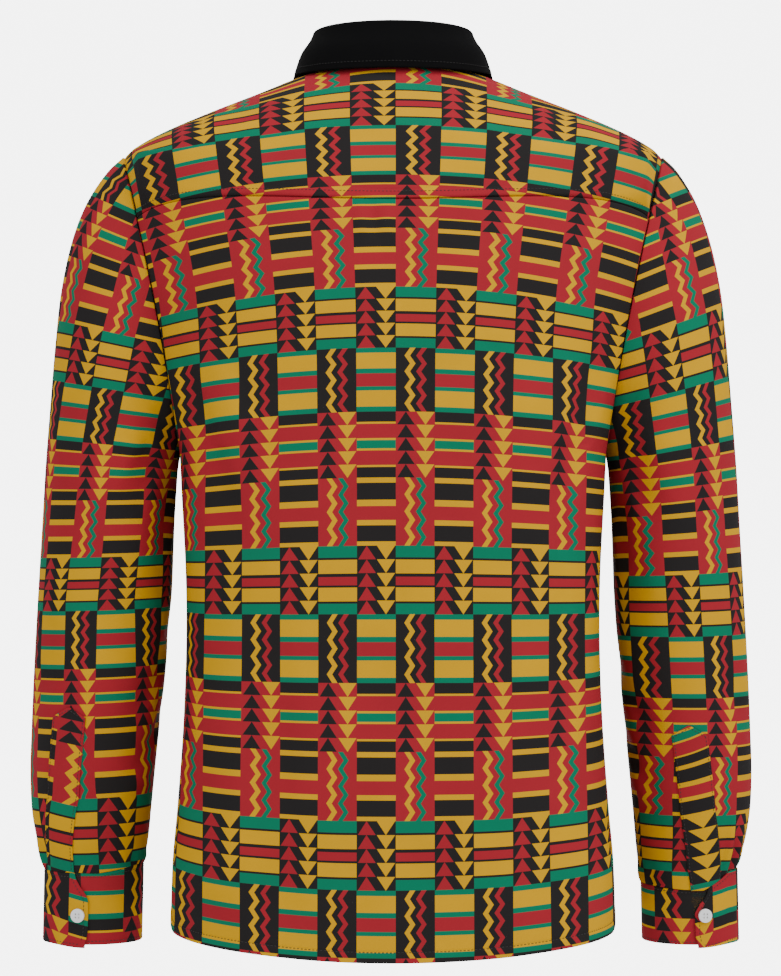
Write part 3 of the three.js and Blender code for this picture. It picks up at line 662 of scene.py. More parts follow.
def curve(rows):
    """A smooth curve through pairs that goes on straight past both ends."""
    value = track(rows, ("z", "value"), "z", "value")
    (z0, v0), (z1, v1) = rows[0], rows[1]
    (z8, v8), (z9, v9) = rows[-2], rows[-1]

    def whole(z):
        z = np.asarray(z, float)
        below = v0 + (z - z0) * (v1 - v0) / (z1 - z0)
        above = v9 + (z - z9) * (v9 - v8) / (z9 - z8)
        return np.where(z < z0, below, np.where(z > z9, above, value(z)))

    return whole


row_at = curve(ROWS_Z)
dip_at = track(DIP_Z, ("z", "dip"), "z", "dip")
column_width = track(COLUMN_Z, ("z", "width"), "z", "width")


def spread(side, share, z):
    """How far round the print has come at a share of the way: as seen from behind, but never
    less than a part of the true way, so that it isn't stretched at the sides."""

    def work(share, z):
        x, _, along = section(side, z)
        step = np.maximum(np.diff(x, axis=1), SPREAD_FLOOR * np.diff(along, axis=1))
        total = np.concatenate([np.zeros((len(z), 1)), np.cumsum(step, axis=1)], axis=1)
        return (picker(along, share)(total) * np.where(share < 0, -1, 1),)

    return in_parts(work, share, z)[0]


def torso_rows(x, z):
    out = np.clip(np.abs(x) / torso_half(z), 0, 1)
    return row_at(z + dip_at(z) * out**2)


def back_print(share, grid):
    z = grid[..., 2]
    u = -(spread(1, share, z) + PRINT_MIDDLE) / column_width(z)
    return np.stack([u, torso_rows(grid[..., 0], z)], axis=-1)


def front_print(share, grid, shift=0.0):
    z = grid[..., 2]
    u = spread(-1, share, z) / column_width(z) + shift
    return np.stack([u, torso_rows(grid[..., 0], z)], axis=-1)


print("rows of the print between hem and yoke", round(float(row_at(HEM_Z) - row_at(YOKE_SEAM_Z)), 2))

# %% Rows and columns on the sleeves
ARM_ROWS = {
    "left": [
        (-712, 14), (-657.5, 13), (-600.6, 12), (-542.2, 11), (-492.2, 10), (-444.1, 9), (-400.1, 8),
        (-353.2, 7), (-306.3, 6), (-260, 5), (-212, 4), (-159, 3), (-102, 2), (-44, 1),
    ],
    "right": [
        (-712, 14), (-663.3, 13), (-615.6, 12), (-566.3, 11), (-517, 10), (-465.7, 9), (-414.2, 8),
        (-362.8, 7), (-310, 6), (-260, 5), (-203.3, 4), (-149.7, 3), (-96.4, 2), (-40, 1),
    ],
}
ARM_SLOPE = {
    "left": [
        (-664, -0.03), (-450, -0.03), (-352, 0), (-303, 0.1), (-208, 0.25), (-158, 0.38),
        (-110, 0.5), (-65, 0.5),
    ],
    "right": [
        (-664, 0), (-517, 0), (-415, 0.04), (-363, 0.1), (-310, 0.18), (-260, 0.28),
        (-205, 0.38), (-155, 0.43), (-100, 0.45), (-65, 0.45),
    ],
}
# Way round a sleeve from its outer line to four lines between columns, by height
ARM_LINES = {
    "left": [
        (-540, 30, 60, 86.8, 123.2), (-436, 29, 59, 87, 118.3), (-303, 37, 69.5, 96.5, 130),
        (-213, 51, 80, 106.7, 138), (-183, 55, 84.7, 111.8, 142), (-158, 56, 86.5, 114, 144),
    ],
    "right": [
        (-540, 40.6, 70.4, 98.1, 135.9), (-316, 46.7, 76.9, 106.7, 145.7), (-208, 51.3, 81.5, 110.5, 142),
        (-179, 52.6, 84.2, 113.3, 144), (-150, 51.7, 83.4, 113, 144), (-122, 49.8, 79, 109, 140),
    ],
}
ARM_FIRST = {"left": -1, "right": 1}
ARM_COLUMN = 30
ARM_MIDDLE_X = 246

steps = np.linspace(0, SLEEVE_END, 400)
outer_line = (sleeve_track["outer_z"](steps)[::-1], sleeve_track["outer_x"](steps)[::-1])
inner_line = (sleeve_track["inner_z"](steps)[::-1], sleeve_track["inner_x"](steps)[::-1])
middle_z = (sleeve_track["outer_z"](steps) + sleeve_track["inner_z"](steps))[::-1] / 2
depth_line = (middle_z, sleeve_track["depth"](steps)[::-1])
forward_line = (middle_z, sleeve_track["forward"](steps)[::-1])
ROUND_FROM_Z, STRAIGHT_BELOW_Z, STRAIGHT_RADIUS = -330, -600, 49.5


def lined(way, lines):
    """The place of each way among the lines between columns, which are a column apart beyond."""
    before, after = (way - lines[0]) / ARM_COLUMN, 3 + (way - lines[3]) / ARM_COLUMN
    place = np.where(way < lines[0], before, after)
    for k in range(3):
        among = (way >= lines[k]) & (way < lines[k + 1])
        place = np.where(among, k + (way - lines[k]) / (lines[k + 1] - lines[k]), place)
    return place


def arm_print(arm, grid, turn):
    """Where the print lies on a sleeve, drawn on the left."""
    x, y, z = grid[..., 0], grid[..., 1], grid[..., 2]
    low = np.minimum(z, ROUND_FROM_Z)
    span = np.interp(low, *outer_line) - np.interp(low, *inner_line)
    half = (span + arm["outer"] - arm["inner"]) / 2
    depth = np.interp(low, *depth_line)
    middle = np.interp(z, *outer_line) + arm["outer"] - half
    ahead = (y + np.interp(low, *forward_line)) / depth
    round_ = np.degrees(np.arctan2(ahead, (x - middle) / half))
    round_ = np.where((round_ < -90) & (turn > 90), round_ + 360, round_)
    round_ = np.where((round_ > 90) & (turn < -90), round_ - 360, round_)
    way = np.radians(round_) * np.where(z < STRAIGHT_BELOW_Z, STRAIGHT_RADIUS, (half + depth) / 2)
    table = np.array(ARM_LINES[arm["name"]], float)
    place = lined(way, [np.interp(z, table[:, 0], table[:, k]) for k in range(1, 5)])
    u = ARM_FIRST[arm["name"]] + place * arm["side"]
    slope = curve(ARM_SLOPE[arm["name"]])(np.clip(z, CUFF_TOP_Z, SHOULDER_Z))
    v = curve(ARM_ROWS[arm["name"]])(z + slope * (ARM_MIDDLE_X - x))
    return np.stack([u, v], axis=-1)


def mirror(grid, side):
    return grid * np.array([side, 1, 1])


print("heights with measured columns", {name: len(rows) for name, rows in ARM_LINES.items()})

# %% [markdown]
# The cloth prints the look of woven kente strips: two columns take turns, with stripes, stacks of
# triangles and zigzags. It could be a painted image, but drawn in nodes it stays sharp at any
# distance. A ramp of hard steps gives the stripes, and small masks lay the other motifs on top.

# %% Colours and stripes
YELLOW = (0.62, 0.325, 0.0005)
RED = (0.34, 0.018, 0.028)
GREEN = (0.003, 0.17, 0.09)
INK = (0.018, 0.016, 0.016)
NAMES = {"y": YELLOW, "r": RED, "g": GREEN, "k": INK}

# Stripes of the repeat from its top, as colour and lower edge, in rows
ODD_STRIPES = [
    ("g", 0.168), ("k", 0.196), ("y", 0.404), ("k", 0.438), ("r", 0.568), ("k", 0.601), ("y", 0.806),
    ("k", 0.832), ("g", 1), ("k", 2), ("r", 4),
]
EVEN_STRIPES = [
    ("k", 1), ("g", 1.069), ("y", 1.319), ("g", 1.398), ("r", 1.595), ("g", 1.668), ("y", 1.918),
    ("g", 2), ("k", 2.153), ("y", 2.181), ("r", 2.404), ("y", 2.436), ("g", 2.562), ("y", 2.59),
    ("r", 2.8), ("y", 2.832), ("k", 3), ("y", 3.078), ("k", 3.32), ("y", 3.411), ("r", 3.611),
    ("y", 3.691), ("k", 3.926), ("y", 4),
]
# Motifs, in columns: a zigzag's two turns and its stroke, a triangle's left, tip and right
ZIGZAGS = [(0.29, 0.43, 0.14), (0.58, 0.724, 0.13)]
ODD_TRIANGLES = [(0.036, 0.257, 0.487), (0.526, 0.76, 0.99)]
EVEN_TRIANGLES = [(0.03, 0.25, 0.487), (0.513, 0.747, 0.983)]
TRIANGLES_IN_ROW, SWINGS_IN_ROW = 5, 8
print("stripes", len(ODD_STRIPES), "and", len(EVEN_STRIPES))

# %% Node helpers


class Maths:
    """Short names for the math nodes of one tree."""

    def __init__(self, tree):
        self.tree = tree

    def node(self, kind, **settings):
        made = self.tree.nodes.new(kind)
        for name, value in settings.items():
            setattr(made, name, value)
        return made

    def put(self, socket, value):
        if isinstance(value, bpy.types.NodeSocket):
            self.tree.links.new(value, socket)
        else:
            socket.default_value = value

    def do(self, operation, *values):
        made = self.node("ShaderNodeMath", operation=operation)
        for socket, value in zip(made.inputs, values):
            self.put(socket, value)
        return made.outputs[0]

    def between(self, low, value, high):
        return self.do("MULTIPLY", self.do("GREATER_THAN", value, low), self.do("LESS_THAN", value, high))

    def mix(self, factor, a, b):
        made = self.node("ShaderNodeMix", data_type="RGBA")
        self.put(made.inputs["Factor"], factor)
        for socket, value in zip((made.inputs[6], made.inputs[7]), (a, b)):
            self.put(socket, (*value, 1) if isinstance(value, tuple) else value)
        return made.outputs[2]

    def ramp(self, value, stripes):
        made = self.node("ShaderNodeValToRGB")
        made.color_ramp.interpolation = "CONSTANT"
        elements = made.color_ramp.elements
        top = 0.0
        for k, (colour, low) in enumerate(stripes):
            element = elements[k] if k < 2 else elements.new(top / 4)
            element.position = top / 4
            element.color = (*NAMES[colour], 1)
            top = low
        self.put(made.inputs[0], value)
        return made.outputs[0]


def new_group(name, inputs, outputs):
    tree = bpy.data.node_groups.new(name, "ShaderNodeTree")
    for label, kind in inputs:
        tree.interface.new_socket(name=label, in_out="INPUT", socket_type=kind)
    for label, kind in outputs:
        tree.interface.new_socket(name=label, in_out="OUTPUT", socket_type=kind)
    return tree, tree.nodes.new("NodeGroupInput"), tree.nodes.new("NodeGroupOutput")


print("node helpers", [name for name in vars(Maths) if not name.startswith("_")])

# %% Kente repeat


def triangle(m, f, h, left, tip, right, up):
    """A mask: one triangle in a cell whose height runs from 0 at the top to 1."""
    grow = h if up else m.do("SUBTRACT", 1.0, h)
    low = m.do("MULTIPLY_ADD", grow, left - tip, tip)
    high = m.do("MULTIPLY_ADD", grow, right - tip, tip)
    return m.do("MULTIPLY", m.do("GREATER_THAN", f, low), m.do("LESS_THAN", f, high))


def zigzag(m, f, g, left, right, stroke, from_right):
    """A mask: a line that swings between two places as the row goes down."""
    swing = m.do("PINGPONG", m.do("MULTIPLY", g, float(SWINGS_IN_ROW)), 1.0)
    if from_right:
        swing = m.do("SUBTRACT", 1.0, swing)
    centre = m.do("MULTIPLY_ADD", swing, right - left, left)
    away = m.do("ABSOLUTE", m.do("SUBTRACT", f, centre))
    return m.do("LESS_THAN", away, stroke / 2)


def kente_group():
    inputs, outputs = [("Place", "NodeSocketVector")], [("Color", "NodeSocketColor")]
    tree, entry, exit_ = new_group("Kente repeat", inputs, outputs)
    m = Maths(tree)
    split = m.node("ShaderNodeSeparateXYZ")
    tree.links.new(entry.outputs[0], split.inputs[0])
    u, v = split.outputs[0], split.outputs[1]
    f = m.do("FRACT", u)
    even = m.do("GREATER_THAN", m.do("FLOORED_MODULO", u, 2.0), 1.0)
    down = m.do("FLOORED_MODULO", v, 4.0)
    quarter = m.do("DIVIDE", down, 4.0)
    g = m.do("FRACT", v)
    h = m.do("FRACT", m.do("MULTIPLY", v, float(TRIANGLES_IN_ROW)))
    rows = [m.between(k - 0.0001, down, k + 1.0) for k in range(4)]
    odd = m.ramp(quarter, ODD_STRIPES)
    odd_motifs = [
        (rows[1], zigzag(m, f, g, *ZIGZAGS[0], True), YELLOW),
        (rows[1], zigzag(m, f, g, *ZIGZAGS[1], True), RED),
        (rows[2], triangle(m, f, h, *ODD_TRIANGLES[0], True), INK),
        (rows[2], triangle(m, f, h, *ODD_TRIANGLES[1], False), YELLOW),
        (rows[3], zigzag(m, f, g, *ZIGZAGS[0], False), YELLOW),
        (rows[3], zigzag(m, f, g, *ZIGZAGS[1], False), GREEN),
    ]
    for row, mask, colour in odd_motifs:
        odd = m.mix(m.do("MULTIPLY", row, mask), odd, colour)
    evens = m.ramp(quarter, EVEN_STRIPES)
    even_motifs = [
        (rows[0], triangle(m, f, h, *EVEN_TRIANGLES[0], True), RED),
        (rows[0], triangle(m, f, h, *EVEN_TRIANGLES[1], False), YELLOW),
    ]
    for row, mask, colour in even_motifs:
        evens = m.mix(m.do("MULTIPLY", row, mask), evens, colour)
    tree.links.new(m.mix(even, odd, evens), exit_.inputs[0])
    return tree


kente_tree = kente_group()
print(kente_tree.name, len(kente_tree.nodes), "nodes")

# %% [markdown]
# Close up, the cloth is a plain weave, and its colour is never quite even. Real threads would be
# far too many to model, so the weave is a fine bump that crosses two sine waves, and soft noise
# makes colour and roughness vary.

# %% Weave and uneven colour
NOISE_DETAIL, ROUGHNESS, ROUGHNESS_SWING = 5.0, 0.85, 0.2


def weave_group():
    """A height: crossing threads, counted in columns and rows of the print."""
    inputs = [("Place", "NodeSocketVector"), ("Across", "NodeSocketFloat"), ("Down", "NodeSocketFloat")]
    tree, entry, exit_ = new_group("Plain weave", inputs, [("Height", "NodeSocketFloat")])
    m = Maths(tree)
    split = m.node("ShaderNodeSeparateXYZ")
    tree.links.new(entry.outputs[0], split.inputs[0])
    warp, weft = (
        m.do("SINE", m.do("MULTIPLY", m.do("MULTIPLY", split.outputs[k], entry.outputs[k + 1]), math.tau))
        for k in range(2)
    )
    tree.links.new(m.do("MULTIPLY_ADD", m.do("MULTIPLY", warp, weft), 0.5, 0.5), exit_.inputs[0])
    return tree


def uneven_group():
    """A colour that is a little lighter and darker in soft patches, as printed cloth is."""
    inputs = [
        ("Color", "NodeSocketColor"), ("Position", "NodeSocketVector"),
        ("Patches", "NodeSocketFloat"), ("Amount", "NodeSocketFloat"),
    ]
    outputs = [("Color", "NodeSocketColor"), ("Roughness", "NodeSocketFloat")]
    tree, entry, exit_ = new_group("Uneven colour", inputs, outputs)
    m = Maths(tree)
    noise = m.node("ShaderNodeTexNoise")
    m.put(noise.inputs["Vector"], entry.outputs[1])
    m.put(noise.inputs["Scale"], entry.outputs[2])
    m.put(noise.inputs["Detail"], NOISE_DETAIL)
    away = m.do("SUBTRACT", noise.outputs[0], 0.5)
    gain = m.do("MULTIPLY_ADD", away, entry.outputs[3], 1.0)
    scale = m.node("ShaderNodeVectorMath", operation="SCALE")
    m.put(scale.inputs[0], entry.outputs[0])
    m.put(scale.inputs["Scale"], gain)
    tree.links.new(scale.outputs[0], exit_.inputs[0])
    tree.links.new(m.do("MULTIPLY_ADD", away, ROUGHNESS_SWING, ROUGHNESS), exit_.inputs[1])
    return tree


weave_tree = weave_group()
uneven_tree = uneven_group()
THREADS_ACROSS, THREADS_DOWN = 58.0, 104.0
print(weave_tree.name, "and", uneven_tree.name)

# %% [markdown]
# The print goes through to the reverse only in part, so the inside of the shirt is paler. Collar
# and collar thread are black, the print's thread is nearly so, and the buttons are glossy white
# plastic, sewn on with white thread.

# %% Materials
CLOTH_PATCHES, CLOTH_UNEVEN, WEAVE_DEPTH = 26.0, 0.22, 0.0002
HARD_PATCHES, HARD_UNEVEN = 400.0, 0.06
LINT, REVERSE_SHARE = (0.42, 0.36, 0.30), 0.5
PRINT_SHEEN, BLACK_SHEEN = 0.1, 0.04


def uneven_colour(m, colour, patches, amount):
    uneven = m.node("ShaderNodeGroup", node_tree=uneven_tree)
    m.put(uneven.inputs["Color"], colour)
    m.put(uneven.inputs["Position"], m.node("ShaderNodeTexCoord").outputs["Object"])
    m.put(uneven.inputs["Patches"], patches)
    m.put(uneven.inputs["Amount"], amount)
    return uneven.outputs


def new_material(name):
    material = bpy.data.materials.new(name)
    material.use_nodes = True
    return material, material.node_tree.nodes["Principled BSDF"]


def cloth_material(name, reverse=False, plain=None, bump=0.25):
    material, shader = new_material(name)
    m = Maths(material.node_tree)
    shader.inputs["Specular IOR Level"].default_value = BLACK_SHEEN if plain else PRINT_SHEEN
    place = m.node("ShaderNodeUVMap", uv_map="print")
    if plain:
        colour = (*plain, 1)
    else:
        group = m.node("ShaderNodeGroup", node_tree=kente_tree)
        m.put(group.inputs[0], place.outputs[0])
        colour = group.outputs[0]
    if reverse:
        colour = m.mix(REVERSE_SHARE, colour, LINT)
    uneven = uneven_colour(m, colour, CLOTH_PATCHES, CLOTH_UNEVEN)
    m.put(shader.inputs["Base Color"], uneven["Color"])
    m.put(shader.inputs["Roughness"], uneven["Roughness"])
    weave = m.node("ShaderNodeGroup", node_tree=weave_tree)
    m.put(weave.inputs["Place"], place.outputs[0])
    m.put(weave.inputs["Across"], THREADS_ACROSS)
    m.put(weave.inputs["Down"], THREADS_DOWN)
    bumps = m.node("ShaderNodeBump")
    m.put(bumps.inputs["Strength"], bump)
    m.put(bumps.inputs["Distance"], WEAVE_DEPTH)
    m.put(bumps.inputs["Height"], weave.outputs["Height"])
    m.put(shader.inputs["Normal"], bumps.outputs[0])
    return material


def hard_material(name, colour, roughness):
    material, shader = new_material(name)
    m = Maths(material.node_tree)
    uneven = uneven_colour(m, (*colour, 1), HARD_PATCHES, HARD_UNEVEN)
    m.put(shader.inputs["Base Color"], uneven["Color"])
    shader.inputs["Roughness"].default_value = roughness
    return material


print_cloth = cloth_material("kente print")
print_reverse = cloth_material("kente reverse", reverse=True)
black_cloth = cloth_material("collar black", plain=(0.0042, 0.0042, 0.0045), bump=0.4)
white_plastic = hard_material("button white", (0.9, 0.9, 0.91), 0.25)
white_thread = hard_material("button thread", (0.72, 0.71, 0.68), 0.8)
dark_thread = hard_material("print thread", (0.035, 0.03, 0.03), 0.85)
black_thread = hard_material("collar thread", (0.0085, 0.0085, 0.0095), 0.75)
print("reverse", print_reverse.name, "and collar", black_cloth.name)

# %% [markdown]
# The back and the two fronts hang from the yoke. Each is cut to the armhole at its top and
# meets its neighbour at the side seam. The front that lies under the other is set deeper where
# they lap.

# %% Rows and columns of a panel
PANEL_WAY, LOWER_WAY, COLUMN_PITCH = 245.0, 400, 2.8
LOWER_PITCH, UPPER_STEPS, TOP_TURN, EVEN_SHARE = 2.7, 84, 118, 0.2
HOLE_DIP, HOLE_SPAN = 1.6, 2.4
YOKE_TUCK, TUCK_DIP = 3.0, 1.6
HEM_STITCH, HEM_RAISE, HEM_PULL = 8.6, 0.35, 0.4
SIDE_FADE = 30


def panel_rows(foot, top, lower, upper):
    """Heights of a panel's rows: even up to the armpit, then at even turns of the armhole."""
    turn = TOP_TURN * upper
    rise = lerp((1 - cos(turn)) / (1 - cos(TOP_TURN)), upper, EVEN_SHARE)
    below = lerp(foot[None, :], ARMPIT_Z, lower[:, None])
    above = lerp(ARMPIT_Z, top[None, :], rise[:, None])
    return np.concatenate([below, above[1:]])


def panel_shares(tuck=0.0):
    lower = stations(LOWER_WAY, LOWER_PITCH, (0, HEM_STITCH)) / LOWER_WAY
    end = TOP_TURN * 2
    upper = stations(end, end / UPPER_STEPS, (end - tuck,)) / end
    return lower, upper


def hem_fold(away):
    """The turned hem: two layers up to the stitch line, which pulls the cloth in."""
    fold = HEM_RAISE * (1 - smooth(HEM_STITCH - 0.2, HEM_STITCH + 1, away))
    return fold - HEM_PULL * bump(away - HEM_STITCH, 1.6)


def seam_dip(away, depth=0.8, span=1.8):
    """The cloth turns in at a seam."""
    return -depth * (1 - smooth(0, span, away)) ** 2


def armhole(z, to_side):
    """The armhole's seam: a dip at the upper edge, deeper than the one down the side."""
    upper = smooth(ARMPIT_Z - 4, ARMPIT_Z + 8, z)
    return seam_dip(to_side, 0.8) * (1 - upper) + seam_dip(to_side, HOLE_DIP, HOLE_SPAN) * upper


print("rows of a panel", [len(shares) for shares in panel_shares()])

# %% Ease at the armpits
# The armhole begins abruptly. On real cloth the columns bend softly there, and so does the form
EASE_SPAN, EASE_STEP, EASE_SHARE = 14, 0.5, 0.93
ease_z = np.arange(HEM_Z - 30.0, NECK_TOP_Z + 0.1, EASE_STEP)
ease_window = bump(np.arange(-EASE_SPAN, EASE_SPAN + EASE_STEP, EASE_STEP), EASE_SPAN + EASE_STEP)
ease_reach = {}
for side in (1, -1):
    padded = np.pad(reach(side, ease_z), len(ease_window) // 2, mode="edge")
    ease_reach[side] = np.convolve(padded, ease_window / ease_window.sum(), mode="valid")


def eased(side, z, out):
    """The way round a panel, eased so that its columns bend softly where the armhole begins."""
    full = reach(side, z)
    return lerp(np.interp(z, ease_z, ease_reach[side]), full, smooth(EASE_SHARE, 1, out)), full


def softened(z, out, values):
    """Values of a panel, evened out up and down where the armhole begins, but not at its edge."""
    reach_up = len(ease_window) // 2
    hold = lerp(smooth(EASE_SHARE, 1, out), 1, 1 - bump(z - ARMPIT_Z, 3 * EASE_SPAN))[..., None]
    soft = values.copy()
    for j in range(z.shape[1]):
        for k in range(values.shape[2]):
            padded = np.pad(np.interp(ease_z, z[:, j], values[:, j, k]), reach_up, mode="edge")
            even = np.convolve(padded, ease_window / ease_window.sum(), mode="valid")
            soft[:, j, k] = np.interp(z[:, j], ease_z, even)
    return lerp(soft, values, hold)


print("eased over", 2 * EASE_SPAN, "mm")

# %% Back
BACK_CREASES = [
    ((27, -112), (24, -150), 7, 1.3),
    ((16, -112), (13, -142), 6, -1.1),
    ((5, -112), (3, -146), 7, 1.0),
    ((196, -225), (128, -395), 22, -3.2, 6),
    ((178, -200), (104, -372), 24, 2.4, 8),
    ((-198, -215), (-132, -410), 22, -3.4, -6),
    ((-180, -195), (-108, -380), 24, 2.2, -8),
    ((150, -395), (128, -700), 34, 2.8),
    ((96, -430), (92, -735), 28, -2.4),
    ((48, -500), (44, -735), 30, 1.8),
    ((-34, -470), (-40, -735), 28, -1.8),
    ((-84, -430), (-88, -740), 30, 2.2),
    ((-140, -420), (-132, -720), 32, -2.0),
]


def back_grid():
    lower, upper = panel_shares(YOKE_TUCK)
    way = PANEL_WAY
    share = (stations(2 * way, COLUMN_PITCH, (0, 2 * way)) - way) / way
    z = panel_rows(hem_height(share), seam_height(share) + YOKE_TUCK, lower, upper)
    share = np.broadcast_to(share, z.shape)
    soft, full = eased(1, z, np.abs(share))
    bent = share * soft / full
    grid = torso(1, bent, z)
    prints = softened(z, np.abs(share), back_print(bent, grid))
    grid[..., :2] = softened(z, np.abs(share), grid[..., :2])
    width = reach(1, z[:, 0])[:, None]
    to_side = (1 - np.abs(share)) * width
    away = z - z[0][None, :]
    to_top = z[-1][None, :] - z
    height = creases(share * width, z, BACK_CREASES) * smooth(0, SIDE_FADE, to_side)
    height = height + hem_fold(away) + armhole(z, to_side)
    height = height + seam_dip(to_top - YOKE_TUCK, TUCK_DIP)
    whole = raised(grid, height)
    sewn("print", whole, row_where(away, HEM_STITCH), np.arange(len(share[0])))
    return whole, prints


grid, prints = back_grid()
cloth("shirt_back", grid, prints, [print_cloth, print_reverse])

# %% Fronts
UNDER_CREASE_SHIFT, SHIFT_UP, MIDDLE_FADE, TOP_FADE = 9, 1.4, (22, 46), 24
FRONT_CREASES = [
    ((196, -228), (120, -392), 22, -3.0, 6),
    ((176, -206), (96, -360), 24, 2.2, 9),
    ((150, -150), (112, -232), 20, -1.8, 4),
    ((118, -150), (84, -250), 22, 1.6, -4),
    ((150, -400), (132, -700), 32, 2.6),
    ((100, -420), (94, -735), 28, -2.4),
    ((62, -500), (58, -735), 26, 1.6),
    ((188, -440), (176, -560), 24, -2.2, 4),
]


def front_grid(side, over):
    lower, upper = panel_shares()
    lap = FRONT_LAP if over else UNDER_LAP
    way = PANEL_WAY + lap
    f = stations(way, COLUMN_PITCH, (0, way)) / way

    def share_of(z, f=f):
        soft, full = eased(-1, z, f)
        return lerp(-lap, soft, f) / full

    def point_of(z, share):
        grid = torso(-1, share, z)
        if over:
            return grid
        along = share * reach(-1, z)
        grid[..., 1] += UNDER_DEPTH * (1 - smooth(UNDER_EASE_START, UNDER_EASE_END, along))
        return grid

    def under_top(z):
        point = point_of(z, share_of(z))
        return outside_neck(point[..., 0], point[..., 1]) & (-point[..., 1] >= YOKE_FORWARD)

    top = edge_of(under_top, np.full(f.shape, float(ARMPIT_Z)), np.full(f.shape, float(NECK_TOP_Z)))
    foot = hem_height(share_of(np.full(f.shape, float(HEM_Z))))
    z = panel_rows(foot, top, lower, upper)
    share = share_of(z, np.broadcast_to(f, z.shape))
    grid = point_of(z, share)
    out = np.broadcast_to(f, z.shape)
    prints = softened(z, out, front_print(share * side, mirror(grid, side)))
    grid[..., :2] = softened(z, out, grid[..., :2])
    to_side = (1 - f)[None, :] * way
    to_edge = f[None, :] * way
    away = z - z[0][None, :]
    to_top = top[None, :] - z
    way_x = share * reach(-1, z[:, 0])[:, None]
    shift = 0 if over else UNDER_CREASE_SHIFT
    folds = creases(way_x + shift, z - shift * SHIFT_UP, FRONT_CREASES)
    folds = folds * smooth(0, SIDE_FADE, to_side) * smooth(*MIDDLE_FADE, way_x)
    folds = folds * smooth(0, TOP_FADE, to_top)
    height = folds + hem_fold(away) + armhole(z, to_side) + seam_dip(to_top, 0.8)
    height = height + seam_dip(to_edge, 0.3)
    whole = mirror(raised(grid, height), side)
    sewn("print", whole, row_where(away, HEM_STITCH), np.arange(len(f)))
    return whole, prints


for side, name, over in ((1, "left", True), (-1, "right", False)):
    grid, prints = front_grid(side, over)
    cloth(f"shirt_front_{name}", grid, prints, [print_cloth, print_reverse])

# %% [markdown]
# The yoke is one piece over the shoulders, from a seam across the back to one in front of the
# ridge, and it carries all the other panels. It could be cut from the torso's sections, but those
# lie flat here. Its grid runs over the top instead, from the back seam to the neck and front seam.

# %% Yoke
NECK_COLUMNS, SEAM_COLUMNS = 7, 5
YOKE_COLUMNS = NECK_COLUMNS + SEAM_COLUMNS
YOKE_WAY = 190.0
CORNER_TURN = math.degrees(math.acos(-YOKE_FORWARD / NECK_FRONT))
CORNER_X = float(neck_oval(np.array(CORNER_TURN))[0])
HOLE_FRONT_Z = HOLE_MIDDLE_Z + HOLE_HALF * math.sqrt(1 - (YOKE_FORWARD / HOLE_DEPTH) ** 2)
HOLE_FRONT_X = float(torso_half(np.array([HOLE_FRONT_Z]))[0])
YOKE_BAND, YOKE_STITCH, FRONT_SEAM_STITCH = 7.0, 5.6, 5.0
YOKE_BAND_EDGE, YOKE_BAND_RISE, YOKE_BAND_PULL, YOKE_COLUMNS_HALF = 0.8, 0.6, 0.35, 150
JUST_INSIDE = 0.9995
YOKE_CREASES = [
    ((118, 22), (76, 82), 22, -1.4, 4),
    ((-112, 24), (-72, 86), 22, -1.3, -4),
    ((168, 40), (140, 96), 20, 1.2),
    ((-172, 36), (-142, 92), 20, 1.3),
]


def yoke_grid():
    k = np.linspace(0, YOKE_COLUMNS, int(YOKE_COLUMNS_HALF * DETAIL))
    k = np.concatenate([k[:-1], YOKE_COLUMNS - np.array([0.04, 0.02, 0])])
    t = stations(YOKE_WAY, COLUMN_PITCH, (0, 2.2, YOKE_BAND, YOKE_WAY)) / YOKE_WAY
    share = k / YOKE_COLUMNS
    start = torso(1, share, seam_height(share))
    end_x, end_y = neck_oval(CORNER_TURN * np.minimum(k, NECK_COLUMNS) / NECK_COLUMNS)
    beyond = np.maximum(k - NECK_COLUMNS, 0) / SEAM_COLUMNS
    end_x = np.where(k > NECK_COLUMNS, lerp(CORNER_X, HOLE_FRONT_X, beyond), end_x)
    end_y = np.where(k > NECK_COLUMNS, -YOKE_FORWARD, end_y)
    x = lerp(start[None, :, 0], end_x[None, :], t[:, None])
    y = lerp(start[None, :, 1], end_y[None, :], t[:, None])
    back_turn = math.degrees(math.acos((float(seam_height(1)) - HOLE_MIDDLE_Z) / HOLE_HALF))
    front_turn = -math.degrees(math.acos((HOLE_FRONT_Z - HOLE_MIDDLE_Z) / HOLE_HALF))
    turn = lerp(back_turn, front_turn, t)
    hole_z = HOLE_MIDDLE_Z + HOLE_HALF * cos(turn)
    hole_x, hole_y = torso_half(hole_z), HOLE_DEPTH * sin(turn)
    pull = share[None, :] ** 6
    x = x + pull * (hole_x - lerp(start[-1, 0], end_x[-1], t))[:, None]
    y = y + pull * (hole_y - lerp(start[-1, 1], end_y[-1], t))[:, None]
    z = top_height(x * JUST_INSIDE, y)
    z[0] = start[:, 2]
    z[:, -1] = hole_z
    near = smooth(YOKE_COLUMNS - 0.5, YOKE_COLUMNS, k)[None, :]
    inner = z[:, np.searchsorted(k, YOKE_COLUMNS - 0.5)][:, None]
    z = np.where(near > 0, lerp(z, lerp(inner, hole_z[:, None], near), near), z)
    grid = np.stack([x, y, z], axis=-1)
    step = np.linalg.norm(np.diff(grid, axis=0), axis=-1)
    arc = np.concatenate([np.zeros((1, len(k))), np.cumsum(step, axis=0)])
    extra = spread(1, share, seam_height(share)) - start[:, 0]
    u = (x + extra[None, :] * (1 - t[:, None])) / column_width(z)
    v = torso_rows(start[:, 0], start[:, 2])[None, :] - arc / YOKE_ROW
    return grid, u, v, arc, k


def both_halves(left, right):
    """Joins a half with its mirror image at the middle line, which they share."""
    return np.concatenate([left[:, :0:-1], right], axis=1)


